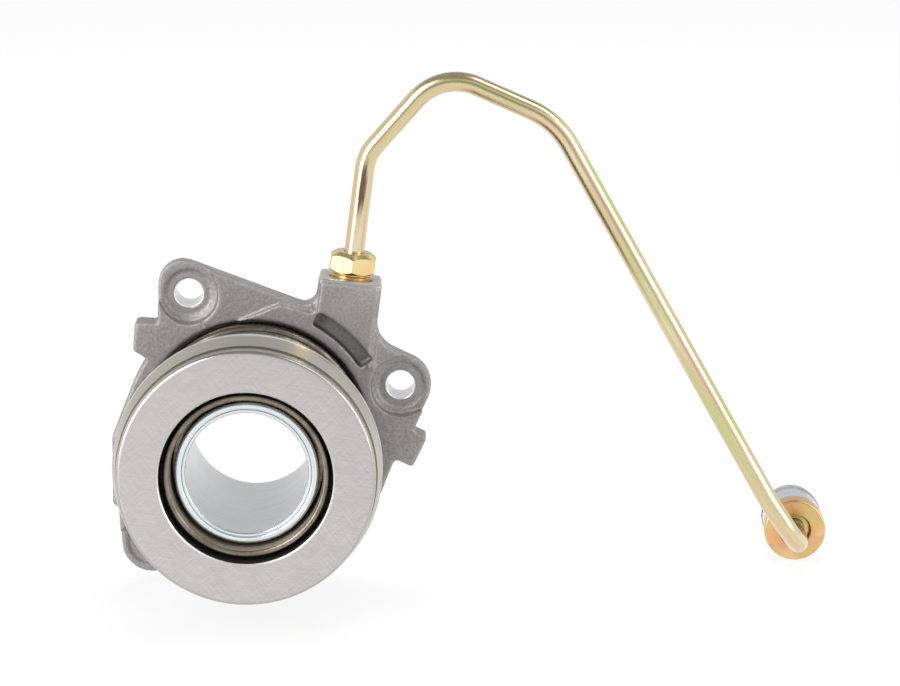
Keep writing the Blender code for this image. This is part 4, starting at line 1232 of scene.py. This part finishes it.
@dataclass
class TubeNut:
    """The tube nut: a hexagon with turned corners over a collar and a shank."""

    flats: float = 0.0108
    height: float = 0.0050
    collar: float = 0.0008
    shank: float = 0.0070
    crown: float = 0.0011
    top_r: float = 0.0043
    top_crown: float = 0.0016
    inset: float = 0.0003
    corner_bevel: float = 0.00025
    crease: float = radians(24)
    thread_r: float = 0.00485

    def build(self) -> None:
        """Turn the body, then keep what lies within the six flats."""
        bore = PIPE_R + GAP / 2
        seat = BOSS_TOP + GAP
        hexagon = seat + self.collar
        top = hexagon + self.height
        shank = seat - self.shank
        corner_r = self.flats / 2 / cos(pi / 6)
        collar_r = self.flats / 2 - self.inset
        outer = corner_r + GAP
        crown = self.crown
        profile = rounded(
            [
                (bore, -top, 0.0), (self.top_r, -top, 0.0003),
                (outer, self.top_crown - top, 0.0), (outer, -hexagon - crown, 0.0),
                (collar_r, -hexagon, 0.0001), (collar_r, -seat - crown / 2, 0.0002),
                (collar_r - crown / 2, -seat, 0.0), (self.thread_r, -seat, 0.0),
                (self.thread_r, -shank, 0.0005), (bore, -shank, 0.0),
            ]
        )
        nut = turned("tube_nut_turned", profile, YELLOW, 96)
        bm = bmesh.new()
        bmesh.ops.create_cone(
            bm,
            cap_ends=True,
            segments=6,
            radius1=corner_r,
            radius2=corner_r,
            depth=4 * self.height + 2 * self.shank,
            matrix=Matrix.Translation((0, seat, 0)) @ Matrix.Rotation(pi / 2, 4, "X"),
        )
        bmesh.ops.bevel(
            bm,
            geom=[e for e in bm.edges if abs((e.verts[0].co - e.verts[1].co).y) > self.height],
            offset=self.corner_bevel,
            segments=2,
            profile=0.5,
            affect="EDGES",
        )
        flats = add_object("flats", bm, YELLOW)
        cut = nut.modifiers.new("flats", "BOOLEAN")
        cut.operation = "INTERSECT"
        cut.object = flats
        cut.solver = "EXACT"
        lean = Matrix.Rotation(BOSS_LEAN, 4, "Y")
        shift = Matrix.Translation((PORT_OFFSET, -PORT_HEIGHT, 0))
        nut.matrix_world = lean @ shift @ Matrix.Rotation(pi / 2, 4, "X")
        flats.matrix_world = nut.matrix_world
        apply_modifiers(nut)
        nut.data.set_sharp_from_angle(angle=self.crease)
        bpy.data.objects.remove(flats)
        finish_piece(nut, Body.FIXED, "tube_nut")


@dataclass
class Connector:
    """The flange that the pipe is brazed into, and the plug-in body behind it."""

    at: tuple[float, float, float] = (0.1318, 0.0124, -0.0303)
    flange_r: float = 0.0075
    thick: float = 0.0056
    recess_r: float = 0.0039
    recess_depth: float = 0.0025
    socket_r: float = 0.0045
    socket_depth: float = 0.0016
    body_r: float = 0.0071
    length: float = 0.0141
    bore_r: float = 0.0016
    chamfer: float = 0.0008
    cord_r: float = 0.0006
    groove_from_rear: float = 0.0025
    seal_rise: float = 0.0002

    def placed(self, name: str, profile: Sequence[Point], finish: Finish) -> bpy.types.Object:
        """Turn a piece and move it to the pipe's far end."""
        made = turned(name, profile, finish, 96)
        made.location = self.at
        return made

    def build_flange(self) -> None:
        """The gold flange with the recess round the pipe."""
        thick = self.thick
        hole = PIPE_R + GAP / 3
        profile = rounded(
            [
                (self.recess_r, 0, 0.00025), (self.flange_r, 0, 0.0005),
                (self.flange_r, -thick, 0.0004), (self.socket_r, -thick, 0.0),
                (self.socket_r, self.socket_depth - thick, 0.0),
                (hole, self.socket_depth - thick, 0.0), (hole, -self.recess_depth, 0.0),
                (self.recess_r, -self.recess_depth, 0.0008),
            ]
        )
        piece = self.placed("pipe_flange_turned", profile, FLANGE_YELLOW)
        finish_piece(piece, Body.FIXED, "pipe_flange")

    def build_body(self) -> None:
        """The bright cylinder with its seal near the rear."""
        front = -self.thick - GAP
        rear = front - self.length
        width = 2 * (self.cord_r + GAP)
        groove = rear + self.groove_from_rear
        outer = self.body_r + self.seal_rise
        groove_r = outer - 2 * self.cord_r - GAP
        spigot = self.socket_r - GAP
        profile = rounded(
            [
                (self.bore_r, front + self.socket_depth, 0.0),
                (spigot, front + self.socket_depth, 0.0), (spigot, front, 0.0),
                (self.body_r, front, 0.0003), (self.body_r, groove + width, 0.00015),
                (groove_r, groove + width, 0.0), (groove_r, groove, 0.0),
                (self.body_r, groove, 0.00015), (self.body_r, rear + self.chamfer, 0.0002),
                (self.body_r - self.chamfer, rear, 0.0002), (self.bore_r, rear, 0.0002),
            ]
        )
        piece = self.placed("connector_turned", profile, BRIGHT)
        finish_piece(piece, Body.FIXED, "connector_body")
        middle = (outer - self.cord_r, groove + width / 2)
        cord = [polar(self.cord_r, radians(turn), middle) for turn in range(0, 360, 18)]
        seal = self.placed("connector_seal_moulded", cord, GREY)
        finish_piece(seal, Body.FIXED, "connector_seal_ring")

    def build(self) -> None:
        """Build the flange, then the body behind it."""
        self.build_flange()
        self.build_body()


@dataclass
class Softbox:
    """One lamp that looks at the part, taller than wide where tall says so."""

    name: str
    at: tuple[float, float, float]
    size: float
    power: float
    tall: float = 1.0
    mirrored: bool = True

    def build(self, target: Vector) -> None:
        """Hang the lamp and turn it to the part."""
        data = bpy.data.lights.new(self.name, "AREA")
        data.shape = "RECTANGLE"
        data.size = self.size
        data.size_y = self.size * self.tall
        data.energy = self.power
        lamp = new_object(self.name, data)
        lamp.location = self.at
        lamp.rotation_euler = (target - lamp.location).to_track_quat("-Z", "Y").to_euler()
        lamp.visible_glossy = self.mirrored


@dataclass
class Studio:
    """Pale floor, soft light and the camera at the photograph's angle."""

    camera_at: tuple[float, float, float] = (0.0470, -1.1831, 0.2586)
    tilt: float = radians(78.56)
    lens: float = 200.0
    sensor: float = 36.0
    floor_size: float = 8.0
    floor_drop: float = 0.0002
    floor_colour: Colour = (0.86, 0.86, 0.86)
    seen_share: float = 0.86
    ambient: float = 0.55
    room_dark: float = 0.60
    room_spread: tuple[float, float] = (-0.80, -0.95)
    roof_dark: float = 0.65
    roof_spread: tuple[float, float] = (0.45, 0.75)
    wall_dark: float = 0.36
    wall_spread: tuple[float, float] = (0.75, 0.95)
    boxes: tuple[Softbox, ...] = (
        Softbox("key_box", (-0.78, -0.80, 0.52), 0.62, 13.5, tall=2.0),
        Softbox("fill_box", (1.02, -0.45, 0.38), 0.50, 3.0, tall=1.4),
        Softbox("side_box", (0.62, -0.10, 0.92), 0.46, 1.7, tall=1.2),
        Softbox("top_box", (0.10, 0.35, 1.00), 0.70, 8.0, mirrored=False),
    )

    def seen(self, graph: Graph) -> Socket:
        """1 for the rays that show the background: camera, glossy and transmission rays."""
        rays = graph.add("LightPath").outputs
        first = graph.math("MAXIMUM", rays["Is Camera Ray"], rays["Is Glossy Ray"])
        return graph.math("MAXIMUM", first, rays["Is Transmission Ray"])

    def build_world(self) -> None:
        """White to look at, softer as a light, and darker in mirrors where the camera stands."""
        world = bpy.data.worlds.new("studio")
        bpy.context.scene.world = world
        world.use_nodes = True
        graph = Graph(world.node_tree)
        back = world.node_tree.nodes["Background"]
        back.inputs["Color"].default_value = (1.0, 1.0, 1.0, 1.0)
        spare = 1.0 - self.ambient
        strength = graph.math("MULTIPLY_ADD", self.seen(graph), spare, self.ambient)
        x, y, z = graph.split(graph.add("TexCoord").outputs["Generated"])
        room = graph.times(graph.spread(y, *self.room_spread), self.room_dark)
        roof = graph.times(graph.spread(z, *self.roof_spread), self.roof_dark)
        wall = graph.times(graph.spread(y, *self.wall_spread), self.wall_dark)
        dark = graph.math("ADD", graph.math("MAXIMUM", room, roof), wall, clamp=True)
        dark = graph.times(dark, graph.add("LightPath").outputs["Is Glossy Ray"])
        graph.feed(back.inputs["Strength"], graph.math("SUBTRACT", strength, dark))

    def build_floor(self) -> None:
        """A plain pale floor that keeps a soft shadow."""
        bm = bmesh.new()
        bmesh.ops.create_grid(bm, x_segments=1, y_segments=1, size=self.floor_size / 2)
        mesh = bpy.data.meshes.new("studio_floor")
        bm.to_mesh(mesh)
        bm.free()
        floor = new_object("studio_floor", mesh)
        floor.location.z = CAD_BOX[0].z - self.floor_drop
        paint = bpy.data.materials.new("floor_white")
        paint.use_nodes = True
        nodes = paint.node_tree.nodes
        nodes.remove(nodes["Principled BSDF"])
        graph = Graph(paint.node_tree)
        matt = graph.add("BsdfDiffuse", {"Color": (*self.floor_colour, 1.0)}).outputs[0]
        glow = graph.add("Emission", {"Strength": 1.0}).outputs[0]
        share = graph.times(self.seen(graph), self.seen_share)
        mixed = graph.add("MixShader", {0: share, 1: matt, 2: glow}).outputs[0]
        graph.feed(nodes["Material Output"].inputs["Surface"], mixed)
        mesh.materials.append(paint)

    def build_camera(self) -> None:
        """The camera that was fitted to the photograph."""
        data = bpy.data.cameras.new("camera")
        data.sensor_fit = "HORIZONTAL"
        data.sensor_width = self.sensor
        data.lens = self.lens
        data.clip_start, data.clip_end = 0.01, 50.0
        camera = new_object("camera", data)
        camera.location = self.camera_at
        camera.rotation_euler = (self.tilt, 0.0, 0.0)
        bpy.context.scene.camera = camera

    def build(self) -> None:
        """Set up camera, world, floor and lamps."""
        bpy.context.scene.view_settings.view_transform = "Standard"
        self.build_camera()
        self.build_world()
        self.build_floor()
        middle = (CAD_BOX[0] + CAD_BOX[1]) / 2
        for box in self.boxes:
            box.build(middle)


def main() -> None:
    """Build the studio and every sub-assembly."""
    logging.basicConfig(level=logging.INFO, format="%(name)s: %(message)s")
    Studio().build()
    for assembly in (
        Casting(),
        GuideSleeve(),
        Piston(),
        PreloadSpring(),
        ReleaseBearing(),
        PressurePipe(),
        TubeNut(),
        Connector(),
    ):
        assembly.build()


if __name__ == "__main__":
    main()
